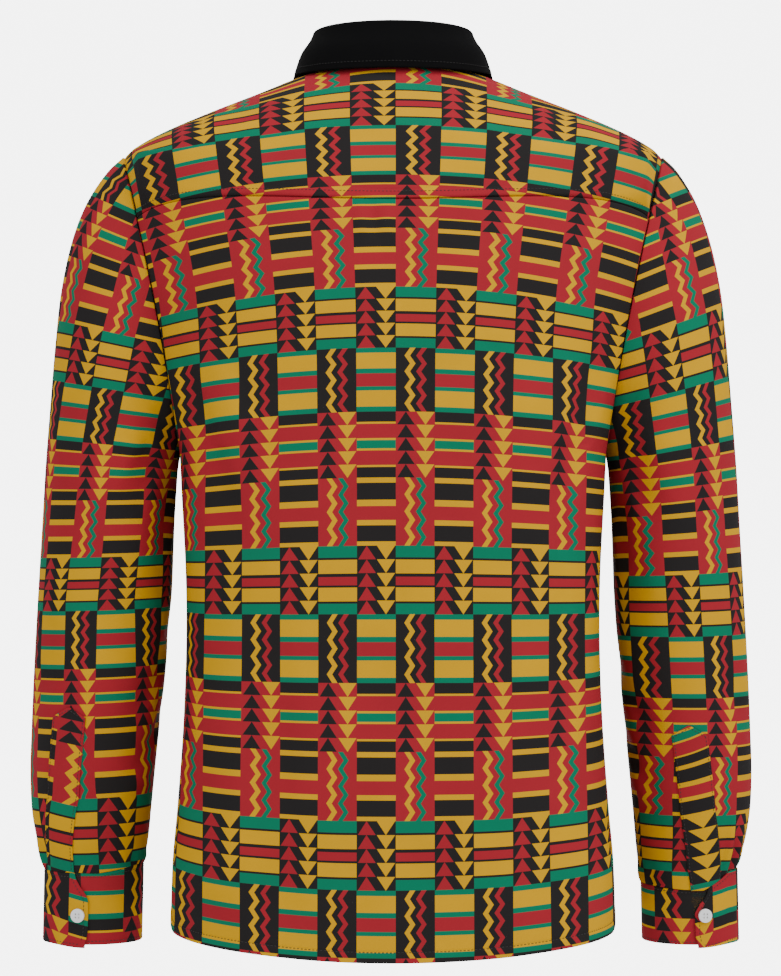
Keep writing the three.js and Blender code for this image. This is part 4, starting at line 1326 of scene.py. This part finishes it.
def whole_yoke():
    half, u, v, arc, k = yoke_grid()
    grid = both_halves(mirror(half, -1), half)
    u, v, arc = both_halves(-u, u), both_halves(v, v), both_halves(arc, arc)
    u = -(u + PRINT_MIDDLE / column_width(grid[..., 2]))
    step = YOKE_BAND_EDGE
    band = smooth(0, step, arc) * (1 - smooth(YOKE_BAND - step, YOKE_BAND + step, arc))
    band = YOKE_BAND_RISE * band - YOKE_BAND_PULL * bump(arc - YOKE_BAND, 1.5)
    band = band + seam_dip(arc, YOKE_BAND_RISE, 1.0)
    whole_k = np.concatenate([-k[:0:-1], k])
    to_hole = (1 - np.abs(whole_k) / YOKE_COLUMNS) * YOKE_WAY
    band = band + seam_dip(to_hole, HOLE_DIP, HOLE_SPAN)[None, :]
    band = band + creases(grid[..., 0], arc, YOKE_CREASES) * smooth(YOKE_BAND + 2, 30, arc)
    whole = raised(grid, band)
    columns = np.arange(grid.shape[1])
    sewn("print", whole, row_where(arc, YOKE_STITCH), columns)
    front = row_where(arc - arc[-1:], -FRONT_SEAM_STITCH)
    for side in (-1, 1):
        seam = (whole_k * side > NECK_COLUMNS + 0.2) & (whole_k * side < YOKE_COLUMNS - 0.1)
        sewn("print", whole, front[seam], columns[seam])
    return whole, np.stack([u, v], axis=-1)


grid, prints = whole_yoke()
cloth("shirt_yoke", grid, prints, [print_cloth, print_reverse])

# %% [markdown]
# A sleeve is sewn into the armhole and gathered into the cuff, so it creases at the armpit, at
# the elbow and above the cuff. A cloth simulation would find creases of its own, so each one that
# the photo shows is listed, as a soft line on the tube.

# %% Sleeves
# Creases on a sleeve: start and end as the turn and the station, then width, height and bend
SLEEVE_CREASES = {
    "left": [
        ((136, 4.2), (112, 7.2), 13, -3.6, 4), ((118, 4.0), (98, 6.6), 12, 2.2, 3),
        ((168, 4.6), (138, 9.0), 18, -3.2, 5), ((196, 9.2), (120, 10.9), 13, -2.6, -4),
        ((190, 10.4), (128, 12.0), 13, -2.2, 3), ((176, 11.8), (120, 12.6), 11, 1.6, 0),
        ((60, 9.4), (20, 10.6), 15, -1.6, 3), ((48, 12.6), (30, 15.8), 10, -1.8, 2),
        ((24, 13.6), (20, 16.4), 7, 3.2, 1), ((11, 13.6), (9, 16.4), 6, -2.6, 0),
        ((-6, 14.0), (-8, 16.4), 8, 2.6, -1), ((-42, 14.4), (-44, 16.1), 9, -1.8, 0),
    ],
    "right": [
        ((138, 4.4), (110, 7.6), 14, -3.2, 5), ((116, 4.2), (96, 6.4), 12, 1.8, 3),
        ((170, 5.0), (136, 9.4), 18, -3.4, 4), ((198, 9.6), (124, 11.2), 13, -2.8, -3),
        ((188, 10.9), (130, 12.4), 12, -2.0, 3), ((172, 12.2), (122, 13.1), 11, 1.8, 0),
        ((58, 9.8), (22, 10.9), 15, -1.8, 3), ((66, 12.8), (52, 15.6), 10, -1.6, 2),
        ((50, 13.0), (46, 16.4), 5.5, 3.4, 1), ((42, 13.2), (38, 16.4), 4.5, -3.0, 0),
        ((32, 13.4), (27, 16.4), 6, 2.8, 1), ((14, 13.8), (10, 16.4), 7, -2.4, 1),
        ((-8, 14.0), (-10, 16.4), 8, 2.8, -1), ((-38, 14.3), (-41, 16.1), 9, -2.0, 0),
    ],
}
# The hidden front of both sleeves: bends at the elbow and fullness above the cuff
SLEEVE_FRONT = [
    ((-60, 3.6), (-108, 7.4), 20, -2.8, 5), ((-96, 3.8), (-128, 7.0), 18, 2.0, 4),
    ((-30, 9.0), (-120, 10.3), 14, -3.0, 4), ((-42, 10.2), (-128, 11.4), 13, -2.8, -3),
    ((-52, 11.4), (-132, 12.5), 13, -2.2, 3), ((-70, 14.3), (-74, 16.1), 9, 2.2, 0),
    ((-100, 14.5), (-100, 16.1), 9, -1.8, 0), ((-130, 14.2), (-128, 16.1), 9, 2.0, 0),
    ((-158, 14.4), (-156, 16.1), 9, -1.6, 0), ((176, 14.6), (174, 16.1), 9, 1.6, 0),
    ((146, 14.5), (144, 16.1), 9, -1.6, 0),
]
TURN_WAY, STATION_WAY, SLEEVE_PITCH, SLEEVE_COLUMNS_ROUND = 0.82, 38.0, 2.9, 132


def sleeve_fold(arm, at, turn):
    """How far creases push a sleeve in or out at a station and a turn."""
    total = np.zeros(np.broadcast(at, turn).shape)
    for start, end, *shape in SLEEVE_CREASES[arm["name"]] + SLEEVE_FRONT:
        a, b = (np.array([turn_ * TURN_WAY, at_ * STATION_WAY]) for turn_, at_ in (start, end))
        for lap in (-360, 0, 360):
            total = total + crease((turn + lap) * TURN_WAY, at * STATION_WAY, a, b, *shape)
    return total * smooth(0.2, 1.2, at)


def sleeve_grid(arm):
    way = SLEEVE_END * STATION_WAY
    at = stations(way, SLEEVE_PITCH, (0, way)) / STATION_WAY
    turn = np.linspace(-180, 180, int(SLEEVE_COLUMNS_ROUND * DETAIL) + 1)
    at, turn = np.meshgrid(at, turn, indexing="ij")
    grid = sleeve(arm, at, turn, sleeve_fold(arm, at, turn))
    return grid, arm_print(arm, sleeve(arm, at, turn), turn), at, turn


for arm in ARMS:
    grid, prints, at, turn = sleeve_grid(arm)
    middle = grid[grid.shape[0] // 2]
    core = middle.mean(axis=0) * np.array([arm["side"], 1, 1])
    whole = mirror(grid, arm["side"])[:, :-1]
    dip = seam_dip(at[:, :-1] * STATION_WAY, HOLE_DIP, HOLE_SPAN)
    dip = dip + seam_dip((SLEEVE_END - at[:, :-1]) * STATION_WAY, 0.5)
    whole = raised(whole, dip, True, core)
    cloth(f"shirt_sleeve_{arm['name']}", whole, prints, [print_cloth, print_reverse], True, core)

# %% [markdown]
# A placket is a strip sewn over a slit or an edge: one with a pointed top above each cuff, and one
# down the left front for the buttonholes. Each takes the form of the cloth that it lies on, lifted
# by the layers between.

# %% Sleeve plackets


def along_at(arm, z, turn):
    start, end = np.full(z.shape, SLEEVE_END / 2), np.full(z.shape, float(SLEEVE_END))
    return edge_of(lambda at: sleeve(arm, at, turn)[..., 2] > z, start, end)


# A placket has its own print: rows down it, the column at its middle and the column's width
PLACKET_ROWS = {
    "left": [(-661.6, 5), (-604.4, 4), (-554, 3), (-524, 2.4)],
    "right": [(-671.9, 5), (-615.1, 4), (-569.9, 3), (-549, 2.562), (-524, 2.1)],
}
PLACKET_SLOPE = {
    "left": [(-664, 0.2), (-540, 0.2)],
    "right": [(-664, 0.2), (-600, 0.22), (-550, 0.38)],
}
PLACKET_COLUMN = {"left": (0.18, 48), "right": (-0.28, 52)}
PLACKET_STITCH, PLACKET_DIP, PLACKET_DIP_SPAN = 2.0, 0.5, 1.0
CORE_ROW, CORE_COLUMN = 30, 5


def placket_print(arm, grid, aside):
    name = arm["name"]
    middle, width = PLACKET_COLUMN[name]
    u = middle - arm["side"] * aside * SLEEVE_PLACKET_WIDTH / width
    x, z = grid[..., 0], grid[..., 2]
    slope = np.interp(z, *zip(*PLACKET_SLOPE[name]))
    v = curve(PLACKET_ROWS[name])(z + slope * (x.mean(axis=1, keepdims=True) - x))
    return np.stack([u, v], axis=-1)


def sleeve_placket(arm):
    width, length = SLEEVE_PLACKET_WIDTH, SLEEVE_PLACKET_LENGTH
    aside = stations(width, 1.6, (0, width)) / width - 0.5
    t = stations(length, 2.2, (0, length)) / length
    t, aside = np.meshgrid(t, aside, indexing="ij")
    top = arm["tip"] - PLACKET_POINT * np.abs(aside) * 2
    turns = arm["placket"]
    z = lerp(top, CUFF_TOP_Z - cuff_seam(arm, turns[2]), t)
    turn = np.where(t < 0.5, lerp(turns[0], turns[1], t * 2), lerp(turns[1], turns[2], t * 2 - 1))
    at = along_at(arm, z, turn)
    degree = np.linalg.norm(sleeve(arm, at, turn + 1) - sleeve(arm, at, turn), axis=-1)
    turn = turn - aside * width / degree
    grid = sleeve(arm, at, turn, sleeve_fold(arm, at, turn))
    prints = placket_print(arm, grid, aside)
    core = grid[CORE_ROW, CORE_COLUMN] * np.array([1, 0, 1])
    place = (aside + 0.5) * width
    edge = sum(seam_dip(away, PLACKET_DIP, PLACKET_DIP_SPAN) for away in (place, width - place))
    whole = mirror(raised(grid, LAP_GAP + PLACKET_RISE + edge, core=core), arm["side"])
    side_core = core * np.array([arm["side"], 1, 1])
    rows = np.arange(grid.shape[0])
    for away in (PLACKET_STITCH, width - PLACKET_STITCH):
        sewn("print", whole, rows[2:], column_where(place, away)[2:], False, side_core)
    columns = np.arange(grid.shape[1])
    top_row = np.full(len(columns), np.interp(PLACKET_STITCH, t[:, 0] * length, rows))
    sewn("print", whole, top_row, columns, False, side_core)
    return whole, prints, core


for arm in ARMS:
    grid, prints, core = sleeve_placket(arm)
    core = core * np.array([arm["side"], 1, 1])
    cloth(f"shirt_sleeve_placket_{arm['name']}", grid, prints, [print_cloth], False, core)


# %% Front placket
BAND_STITCH = 5.0


def front_placket():
    marks = (0, BAND_STITCH, PLACKET_WIDTH - BAND_STITCH, PLACKET_WIDTH)
    along = stations(PLACKET_WIDTH, 1.6, marks) - PLACKET_WIDTH / 2

    def under_top(z):
        point = torso(-1, along / reach(-1, z), z)
        return outside_neck(point[..., 0], point[..., 1])

    low, high = (np.full(along.shape, float(z)) for z in (ARMPIT_Z, NECK_TOP_Z))
    top = edge_of(under_top, low, high)
    lower, upper = panel_shares()
    z = panel_rows(np.full(along.shape, float(HEM_Z)), top, lower, upper)
    share = along[None, :] / reach(-1, z)
    grid = torso(-1, share, z)
    whole = raised(grid, np.full(z.shape, LAP_GAP + PLACKET_RISE))
    for away in (BAND_STITCH, PLACKET_WIDTH - BAND_STITCH):
        column = float(np.interp(away - PLACKET_WIDTH / 2, along, np.arange(len(along))))
        sewn("print", whole, np.arange(len(z)), np.full(len(z), column))
    return whole, front_print(share, grid, 0.5)


grid, prints = front_placket()
cloth("shirt_front_placket", grid, prints, [print_cloth])

# %% [markdown]
# A cuff is a stiff band whose one end laps over the other and is buttoned. It could be a ring with
# a flap added. A spiral is truer, as the outer end rises over the inner one.

# %% Cuffs
CUFF_SWEEP = 360 + CUFF_LAP_TURN
FLAP_TOP_TURN, FLAP_FOOT_TURN, CUFF_LEVEL = 16, 3, (4, 60)
CUFF_DIP, CUFF_DIP_SPAN, CUFF_PULL, CUFF_PULL_SPAN = 0.5, 1.2, 0.3, 1.4
# The cuff is a band with its own print: places between columns by the way outward from the
# first line on the flap, and the height of a row's line by the same way
CUFF_RADIUS, CUFF_STITCH, CUFF_CLOTH = 39.2, 3.0, 1.6
CUFF_START = {"left": 45.7, "right": 46.3}
CUFF_PLACES = {
    "left": [(-35, 2), (0, 1), (35, 0), (167, -5), (202, -6), (237, -7)],
    "right": [(-32, 0), (0, 1), (28.8, 2), (164.7, 7), (196.7, 8), (228.7, 9)],
}
CUFF_LINE = {
    "left": [
        (-20, -710.5), (0, -705), (15, -701), (40, -700), (120, -701), (202, -703.5), (240, -703.5),
    ],
    "right": [
        (-20, -708), (0, -702.5), (15, -699), (40, -698), (120, -700), (197, -703), (240, -703),
    ],
}
CUFF_ROW = {"left": 61, "right": 56}


def cuff_print(arm, turn, z):
    name = arm["name"]
    outward = CUFF_START[name] - np.radians(turn) * CUFF_RADIUS
    u = np.interp(outward, *zip(*CUFF_PLACES[name]))
    v = 2 + (np.interp(outward, *zip(*CUFF_LINE[name])) - z) / CUFF_ROW[name]
    return np.stack([u, v], axis=-1)


def cuff_grid(arm):
    way = CUFF_WAY
    down = stations(CUFF_HEIGHT, 1.8, (0, CUFF_HEIGHT)) / CUFF_HEIGHT
    share = stations(way, 2.0, (0, way)) / way
    down, share = np.meshgrid(down, share, indexing="ij")
    over = CUFF_END_TURN - FLAP_TOP_TURN * (1 - smooth(0, 0.4, down))
    over = over - FLAP_FOOT_TURN * smooth(0.75, 1, down)
    turn = lerp(over, CUFF_END_TURN - CUFF_SWEEP, share)
    past_lap = CUFF_END_TURN - turn - CUFF_LAP_TURN
    lift = CUFF_LIFT * (1 - smooth(*CUFF_LEVEL, past_lap))
    drop = CUFF_END_DROP * (1 - smooth(0, CUFF_END_SHARE, share))
    z = lerp(CUFF_TOP_Z - cuff_seam(arm, turn), CUFF_FOOT_Z - drop, down)
    away = [down * CUFF_HEIGHT, (1 - down) * CUFF_HEIGHT, share * way]
    edge = sum(seam_dip(value, CUFF_DIP, CUFF_DIP_SPAN) for value in away)
    edge = edge - CUFF_PULL * bump(np.minimum(*away[:2]) - CUFF_STITCH, CUFF_PULL_SPAN)
    return cuff_point(arm, turn, z, lift + edge), turn, down * CUFF_HEIGHT, share * way


for arm in ARMS:
    grid, turn, down, way = cuff_grid(arm)
    prints = cuff_print(arm, turn, grid[..., 2])
    core = grid.reshape(-1, 3).mean(axis=0) * np.array([arm["side"], 1, 1])
    whole = mirror(grid, arm["side"])
    columns = np.arange(grid.shape[1])
    first = int(np.searchsorted(way[0], CUFF_STITCH))
    for away in (CUFF_STITCH, CUFF_HEIGHT - CUFF_STITCH):
        sewn("print", whole, row_where(down, away)[first:], columns[first:], False, core)
    middle = (down[:, 0] > CUFF_STITCH) & (down[:, 0] < CUFF_HEIGHT - CUFF_STITCH)
    rows = np.arange(len(grid))[middle]
    sewn("print", whole, rows, column_where(way, CUFF_STITCH)[middle], False, core)
    cloth(f"shirt_cuff_{arm['name']}", whole, prints, [print_cloth], False, core, CUFF_CLOTH)

# %% [markdown]
# The collar has a stand round the neck, whose ends lap in front, and a fall that folds over it and
# ends in two points. Its section is a half circle at the fold and then nearly straight, with a
# slight bow, as stiffened cloth has. Rows along that section make the grid.

# %% Collar
COLUMN_MM, ROW_MM = 31, 55
COLLAR_STITCH, COLLAR_CLOTH, STAND_STITCH_ROW, UNDER_LAP_TURNS = 5.5, 1.2, 0.8, (2, 26)
STAND_ROWS, FOLD_ROWS, FALL_ROWS, STAND_AROUND, FALL_AROUND = 14, 12, 25, 170, 200
NECK_CORE = np.array([0.0, 0.0, 10.0])


def plain_prints(grid):
    """Places in the cloth itself, in the print's units, for the weave alone."""
    wide = np.linalg.norm(np.diff(grid, axis=1, prepend=grid[:, :1]), axis=-1).cumsum(axis=1)
    long = np.linalg.norm(np.diff(grid, axis=0, prepend=grid[:1]), axis=-1).cumsum(axis=0)
    return np.stack([wide / COLUMN_MM, long / ROW_MM], axis=-1)


def stand_grid():
    turn = np.linspace(-180 - STAND_LAP_TURN, 180 + STAND_LAP_TURN, int(STAND_AROUND * DETAIL))
    up = np.linspace(0, 1, STAND_ROWS)
    up, turn = np.meshgrid(up, turn, indexing="ij")
    under = 1 - smooth(*UNDER_LAP_TURNS, turn + 180 - STAND_LAP_TURN)
    return stand_point(turn, up, -under * (STAND_WALL + LAP_GAP))


def fall_grid():
    turn = np.linspace(-FALL_END_TURN, FALL_END_TURN, int(FALL_AROUND * DETAIL))
    top = stand_point(turn, np.ones_like(turn), 0)
    flat = top * np.array([1, 1, 0])
    radial = flat / np.linalg.norm(flat, axis=-1, keepdims=True)
    up = np.array([0, 0, 1.0])
    centre = top + radial * FOLD_INNER + up * FOLD_RISE
    turns = np.linspace(180, 0, FOLD_ROWS)
    lines = [centre + FOLD_RADIUS * (radial * cos(a) + up * sin(a)) for a in turns]
    away = np.abs(turn)
    x, y, z = (fall_track[name](away) for name in ("x", "y", "z"))
    edge = np.stack([x * np.sign(turn), y, z], axis=-1)
    start = centre + radial * FOLD_RADIUS
    fall = edge - start
    length = (fall**2).sum(axis=-1, keepdims=True)
    face = radial - fall * (radial * fall).sum(axis=-1, keepdims=True) / length
    face = face / np.linalg.norm(face, axis=-1, keepdims=True)
    for t in np.linspace(0, 1, FALL_ROWS + 1)[1:]:
        bow = FALL_BOW * math.sin(math.pi * t) * float(smooth(0, 1, t * 2))
        lines.append(start + fall * t + face * bow)
    return np.stack(lines)


grid = stand_grid()
columns = np.arange(grid.shape[1])
sewn("black", grid, np.full(len(columns), STAND_STITCH_ROW), columns, False, NECK_CORE)
cloth("collar_stand_cloth", grid, plain_prints(grid), [black_cloth], False, NECK_CORE, COLLAR_CLOTH)
grid = fall_grid()
along = np.linalg.norm(np.diff(grid, axis=0, prepend=grid[:1]), axis=-1).cumsum(axis=0)
rows = row_where(along - along[-1:], -COLLAR_STITCH)
wide = np.linalg.norm(np.diff(grid, axis=1, prepend=grid[:, :1]), axis=-1).cumsum(axis=1)
inside = (wide[-1] > COLLAR_STITCH) & (wide[-1] < wide[-1, -1] - COLLAR_STITCH)
sewn("black", grid, rows[inside], np.arange(grid.shape[1])[inside], False, NECK_CORE)
for end in (COLLAR_STITCH, -COLLAR_STITCH):
    place = column_where(wide - (wide[:, -1:] if end < 0 else 0), end)[FOLD_ROWS:-2]
    sewn("black", grid, FOLD_ROWS + np.arange(len(place)), place, False, NECK_CORE)
cloth("collar_fall_cloth", grid, plain_prints(grid), [black_cloth], False, NECK_CORE, COLLAR_CLOTH)

# %% [markdown]
# The shirt's buttons are white, with a rim, a dished face and four holes. One is turned from a
# cylinder: the face is inset and sunk, the edges are bevelled, and the holes are cut with four
# thin cylinders. It is then copied to its places, each copy with its own mesh. Two bars of thread
# run from hole to hole, and a short shank of thread stands between the button and the cloth.

# %% Buttons
BUTTON_RADIUS, BUTTON_THICKNESS, BUTTON_RIM, BUTTON_DISH = 5.8, 2.4, 1.5, 0.7
DISH_STEP, EDGE_BEVEL, SHANK_RADIUS, SHANK_HEIGHT = 0.7, 0.4, 2.1, 1.2
HOLE_RADIUS, HOLE_PLACE, THREAD_RADIUS, THREAD_OVER = 0.75, 1.35, 0.42, 0.9
DISH_DROP, THREAD_BEVEL, SHANK_Z, DRILL_LENGTH, DRILL_Z = 0.1, 0.3, 0.1, 8, 1
BUTTON_SIDES, DRILL_SIDES, BAR_SIDES, SHANK_SIDES = 40, 14, 10, 16
CUFF_BUTTON_TURN, CUFF_BUTTON_Z = 78, -700
FRONT_BUTTONS, FRONT_BUTTON_TOP_Z, FRONT_BUTTON_PITCH, BAND_WALL = 7, -128, 82, 1.3


def face_up(piece, height):
    """Selects the faces that look up and lie at a height, in edit mode."""
    bpy.ops.object.mode_set(mode="EDIT")
    bpy.ops.mesh.select_mode(type="FACE")
    bpy.ops.mesh.select_all(action="DESELECT")
    bpy.ops.object.mode_set(mode="OBJECT")
    for face in piece.data.polygons:
        face.select = face.normal.z > 0.9 and abs(face.center.z - height) < 0.1 * MM
    bpy.ops.object.mode_set(mode="EDIT")


def cylinder(radius, depth, place, sides, turn=(0, 0, 0)):
    bpy.ops.object.select_all(action="DESELECT")
    bpy.ops.mesh.primitive_cylinder_add(
        vertices=sides, radius=radius * MM, depth=depth * MM, rotation=turn,
        location=[value * MM for value in place],
    )
    return bpy.context.active_object


def apply_modifier(piece, kind, **settings):
    only(piece)
    bpy.ops.object.modifier_add(type=kind)
    made = piece.modifiers[-1]
    for name, value in settings.items():
        setattr(made, name, value)
    bpy.ops.object.modifier_apply(modifier=made.name)


def join(pieces):
    bpy.ops.object.select_all(action="DESELECT")
    for piece in pieces:
        piece.select_set(True)
    bpy.context.view_layer.objects.active = pieces[0]
    bpy.ops.object.join()
    return pieces[0]


print("button", 2 * BUTTON_RADIUS, "mm wide")

# %% One button


def button_shape():
    disc = cylinder(BUTTON_RADIUS, BUTTON_THICKNESS, (0, 0, BUTTON_THICKNESS / 2), BUTTON_SIDES)
    face_up(disc, BUTTON_THICKNESS * MM)
    bpy.ops.mesh.inset(thickness=BUTTON_RIM * MM, depth=0)
    bpy.ops.transform.translate(value=(0, 0, -BUTTON_DISH * MM))
    bpy.ops.mesh.inset(thickness=DISH_STEP * MM, depth=-DISH_DROP * MM)
    bpy.ops.object.mode_set(mode="OBJECT")
    apply_modifier(disc, "BEVEL", width=EDGE_BEVEL * MM, segments=3, limit_method="ANGLE")
    spots = [(x, y) for x in (-HOLE_PLACE, HOLE_PLACE) for y in (-HOLE_PLACE, HOLE_PLACE)]
    holes = [cylinder(HOLE_RADIUS, DRILL_LENGTH, (x, y, DRILL_Z), DRILL_SIDES) for x, y in spots]
    drill = join(holes)
    apply_modifier(disc, "BOOLEAN", operation="DIFFERENCE", object=drill)
    bpy.data.objects.remove(drill)
    face_z = BUTTON_THICKNESS - BUTTON_DISH
    turn = (0, math.radians(90), 0)
    bars = [
        cylinder(THREAD_RADIUS, 2 * HOLE_PLACE + THREAD_OVER, (0, y, face_z), BAR_SIDES, turn)
        for y in (-HOLE_PLACE, HOLE_PLACE)
    ]
    shank = cylinder(SHANK_RADIUS, SHANK_HEIGHT, (0, 0, SHANK_Z), SHANK_SIDES)
    for piece in (disc, *bars, shank):
        piece.data.materials.append(white_plastic if piece is disc else white_thread)
        only(piece)
        bpy.ops.object.transform_apply(location=True, rotation=True, scale=True)
    for piece in bars:
        apply_modifier(piece, "BEVEL", width=THREAD_BEVEL * MM, segments=2, limit_method="ANGLE")
    whole = join([disc, *bars, shank])
    only(whole)
    bpy.ops.object.shade_smooth_by_angle(angle=math.radians(35))
    return whole


shape = button_shape()
print("button faces", len(shape.data.polygons))

# %% Buttons in their places


def button(name, point, normal, shape):
    """A copy of the button with its back at a point, facing along a normal."""
    copy = shape.copy()
    copy.data = shape.data.copy()
    copy.name = f"{name}_sewn"
    copy.data.name = copy.name
    bpy.context.scene.collection.objects.link(copy)
    normal = Vector(normal).normalized()
    turn = normal.to_track_quat("Z", "Y").to_matrix().to_4x4()
    copy.data.transform(Matrix.Translation((Vector(point) + normal * LAP_GAP) * MM) @ turn)
    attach(copy, "root")
    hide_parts(name)


for arm in ARMS:
    turns = np.array([CUFF_BUTTON_TURN, CUFF_BUTTON_TURN - 4.0])
    seat, aside = cuff_point(arm, turns, np.full(2, float(CUFF_BUTTON_Z)), CUFF_LIFT)
    step = aside - seat
    sign = np.array([arm["side"], 1, 1])
    button(f"cuff_button_{arm['name']}", seat * sign, np.array([-step[1], step[0], 0]) * sign, shape)
foot, middle, head = stand_point(np.full(3, 180.0), np.array([0, 0.5, 1]), 0)
rise = head - foot
button("stand_button", middle, (0, -rise[2], rise[1]), shape)
for k in range(FRONT_BUTTONS):
    z = FRONT_BUTTON_TOP_Z - k * FRONT_BUTTON_PITCH + np.array([-1.0, 1.0])
    low, high = torso(-1, np.zeros(2), z)
    rise = high - low
    normal = np.array([0, -rise[2], rise[1]]) / np.hypot(rise[1], rise[2])
    button(f"front_button_{k + 1}", (low + high) / 2 + normal * (LAP_GAP + BAND_WALL), normal, shape)
bpy.data.objects.remove(shape)

# %% [markdown]
# Every panel is a sheet that was cut flat. Each cut's width, length and area were measured on its
# grid, in metres. The table gives the node that a piece stands for, how the piece is held, and
# what it hangs from or lies on.

# %% Frame
SHEETS = {
    "shirt_back": ("back", "hung", ["shirt_yoke"]),
    "shirt_yoke": ("yoke", "draped", []),
    "shirt_front_left": ("front_left", "hung", ["shirt_yoke"]),
    "shirt_front_right": ("front_right", "hung", ["shirt_yoke"]),
    "shirt_front_placket": ("front_placket", "laid", ["shirt_front_left"]),
    "shirt_sleeve_left": ("sleeve_left", "hung", ["shirt_yoke"]),
    "shirt_sleeve_right": ("sleeve_right", "hung", ["shirt_yoke"]),
    "shirt_sleeve_placket_left": ("sleeve_placket_left", "laid", ["shirt_sleeve_left"]),
    "shirt_sleeve_placket_right": ("sleeve_placket_right", "laid", ["shirt_sleeve_right"]),
    "shirt_cuff_left": ("cuff_left", "hung", ["shirt_sleeve_left"]),
    "shirt_cuff_right": ("cuff_right", "hung", ["shirt_sleeve_right"]),
    "collar_stand_cloth": ("collar_stand", "hung", ["shirt_yoke"]),
    "collar_fall_cloth": ("collar_fall", "folded", ["collar_stand_cloth"]),
}
for name, (node, held, rests_on) in SHEETS.items():
    piece = bpy.data.objects[name]
    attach(piece, "root")
    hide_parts(node)
    width, length, area = cuts[name]
    area = min(area, width * length)
threads = {"print": (dark_thread, "kente_print"), "black": (black_thread, "collar_black")}
for kind, (thread, slot) in threads.items():
    piece = stitch_mesh(f"stitches_{kind}", sewn_lines[kind], thread)
    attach(piece, "root")
counts = {
    piece.name: sum(len(face.vertices) - 2 for face in piece.data.polygons)
    for piece in bpy.data.objects
    if piece.type == "MESH" and piece.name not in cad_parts
}
print("triangles", sum(counts.values()), sorted(counts.items(), key=lambda pair: -pair[1])[:8])

# %% [markdown]
# The photo has a pure white ground and soft light from all round, stronger from the right. The
# world gives the even light, and three area lights the rest. A glowing sheet far behind the shirt
# makes the ground white and sends no shadow.

# %% Camera
SENSOR, LENS, CAMERA_PLACE = 36, 109.77, (0.0021, 2.5, -0.343)
camera_data = bpy.data.cameras.new("camera")
camera_data.sensor_width = SENSOR
camera_data.lens = LENS
camera = placed("camera", camera_data)
camera.location = CAMERA_PLACE
camera.rotation_euler = (math.radians(90), 0, math.radians(180))
bpy.context.scene.camera = camera
print("camera at", CAMERA_PLACE, "lens", LENS)

# %% Lights
WORLD_LIGHT = 0.86
world = bpy.data.worlds.new("studio")
bpy.context.scene.world = world
world.use_nodes = True
world.node_tree.nodes["Background"].inputs["Color"].default_value = (1, 1, 1, 1)
world.node_tree.nodes["Background"].inputs["Strength"].default_value = WORLD_LIGHT


def area_light(name, place, target, size, power):
    data = bpy.data.lights.new(name, "AREA")
    data.shape = "RECTANGLE"
    data.size, data.size_y = size
    data.energy = power
    light = placed(name, data)
    light.location = place
    light.rotation_euler = (Vector(target) - Vector(place)).to_track_quat("-Z", "Y").to_euler()


area_light("light_left", (1.7, 1.8, 0.5), (0, 0, -0.35), (1.2, 1.8), 9)
area_light("light_right", (-1.8, 1.7, 0.9), (0, 0, -0.3), (1.2, 1.8), 30)
area_light("light_top", (-0.3, 0.7, 1.7), (0, 0, -0.2), (1.4, 1.0), 14)
print("lights", [light.name for light in bpy.data.lights])

# %% Backdrop
WHITE_GLOW, PANEL_HALF, PANEL_Y, FLOOR_Z = 5.0, 1.7, -6, -2.3


def stage_plane(name, corners):
    mesh = bpy.data.meshes.new(name)
    mesh.from_pydata(corners, [], [(0, 1, 2, 3)])
    piece = placed(name, mesh)
    material, shader = new_material(name)
    mesh.materials.append(material)
    return shader


half, level = PANEL_HALF, camera.location.z
corners = [(-half, level - half), (half, level - half), (half, level + half), (-half, level + half)]
paper = stage_plane("white_paper", [(x, PANEL_Y, z) for x, z in corners])
paper.inputs["Base Color"].default_value = (1, 1, 1, 1)
paper.inputs["Emission Color"].default_value = (1, 1, 1, 1)
paper.inputs["Emission Strength"].default_value = WHITE_GLOW
floor = stage_plane("floor", [(-4, -5, FLOOR_Z), (4, -5, FLOOR_Z), (4, 5, FLOOR_Z), (-4, 5, FLOOR_Z)])
floor.inputs["Base Color"].default_value = (0.85, 0.85, 0.85, 1)
floor.inputs["Roughness"].default_value = 0.9
print("backdrop at", PANEL_Y, "floor at", FLOOR_Z)
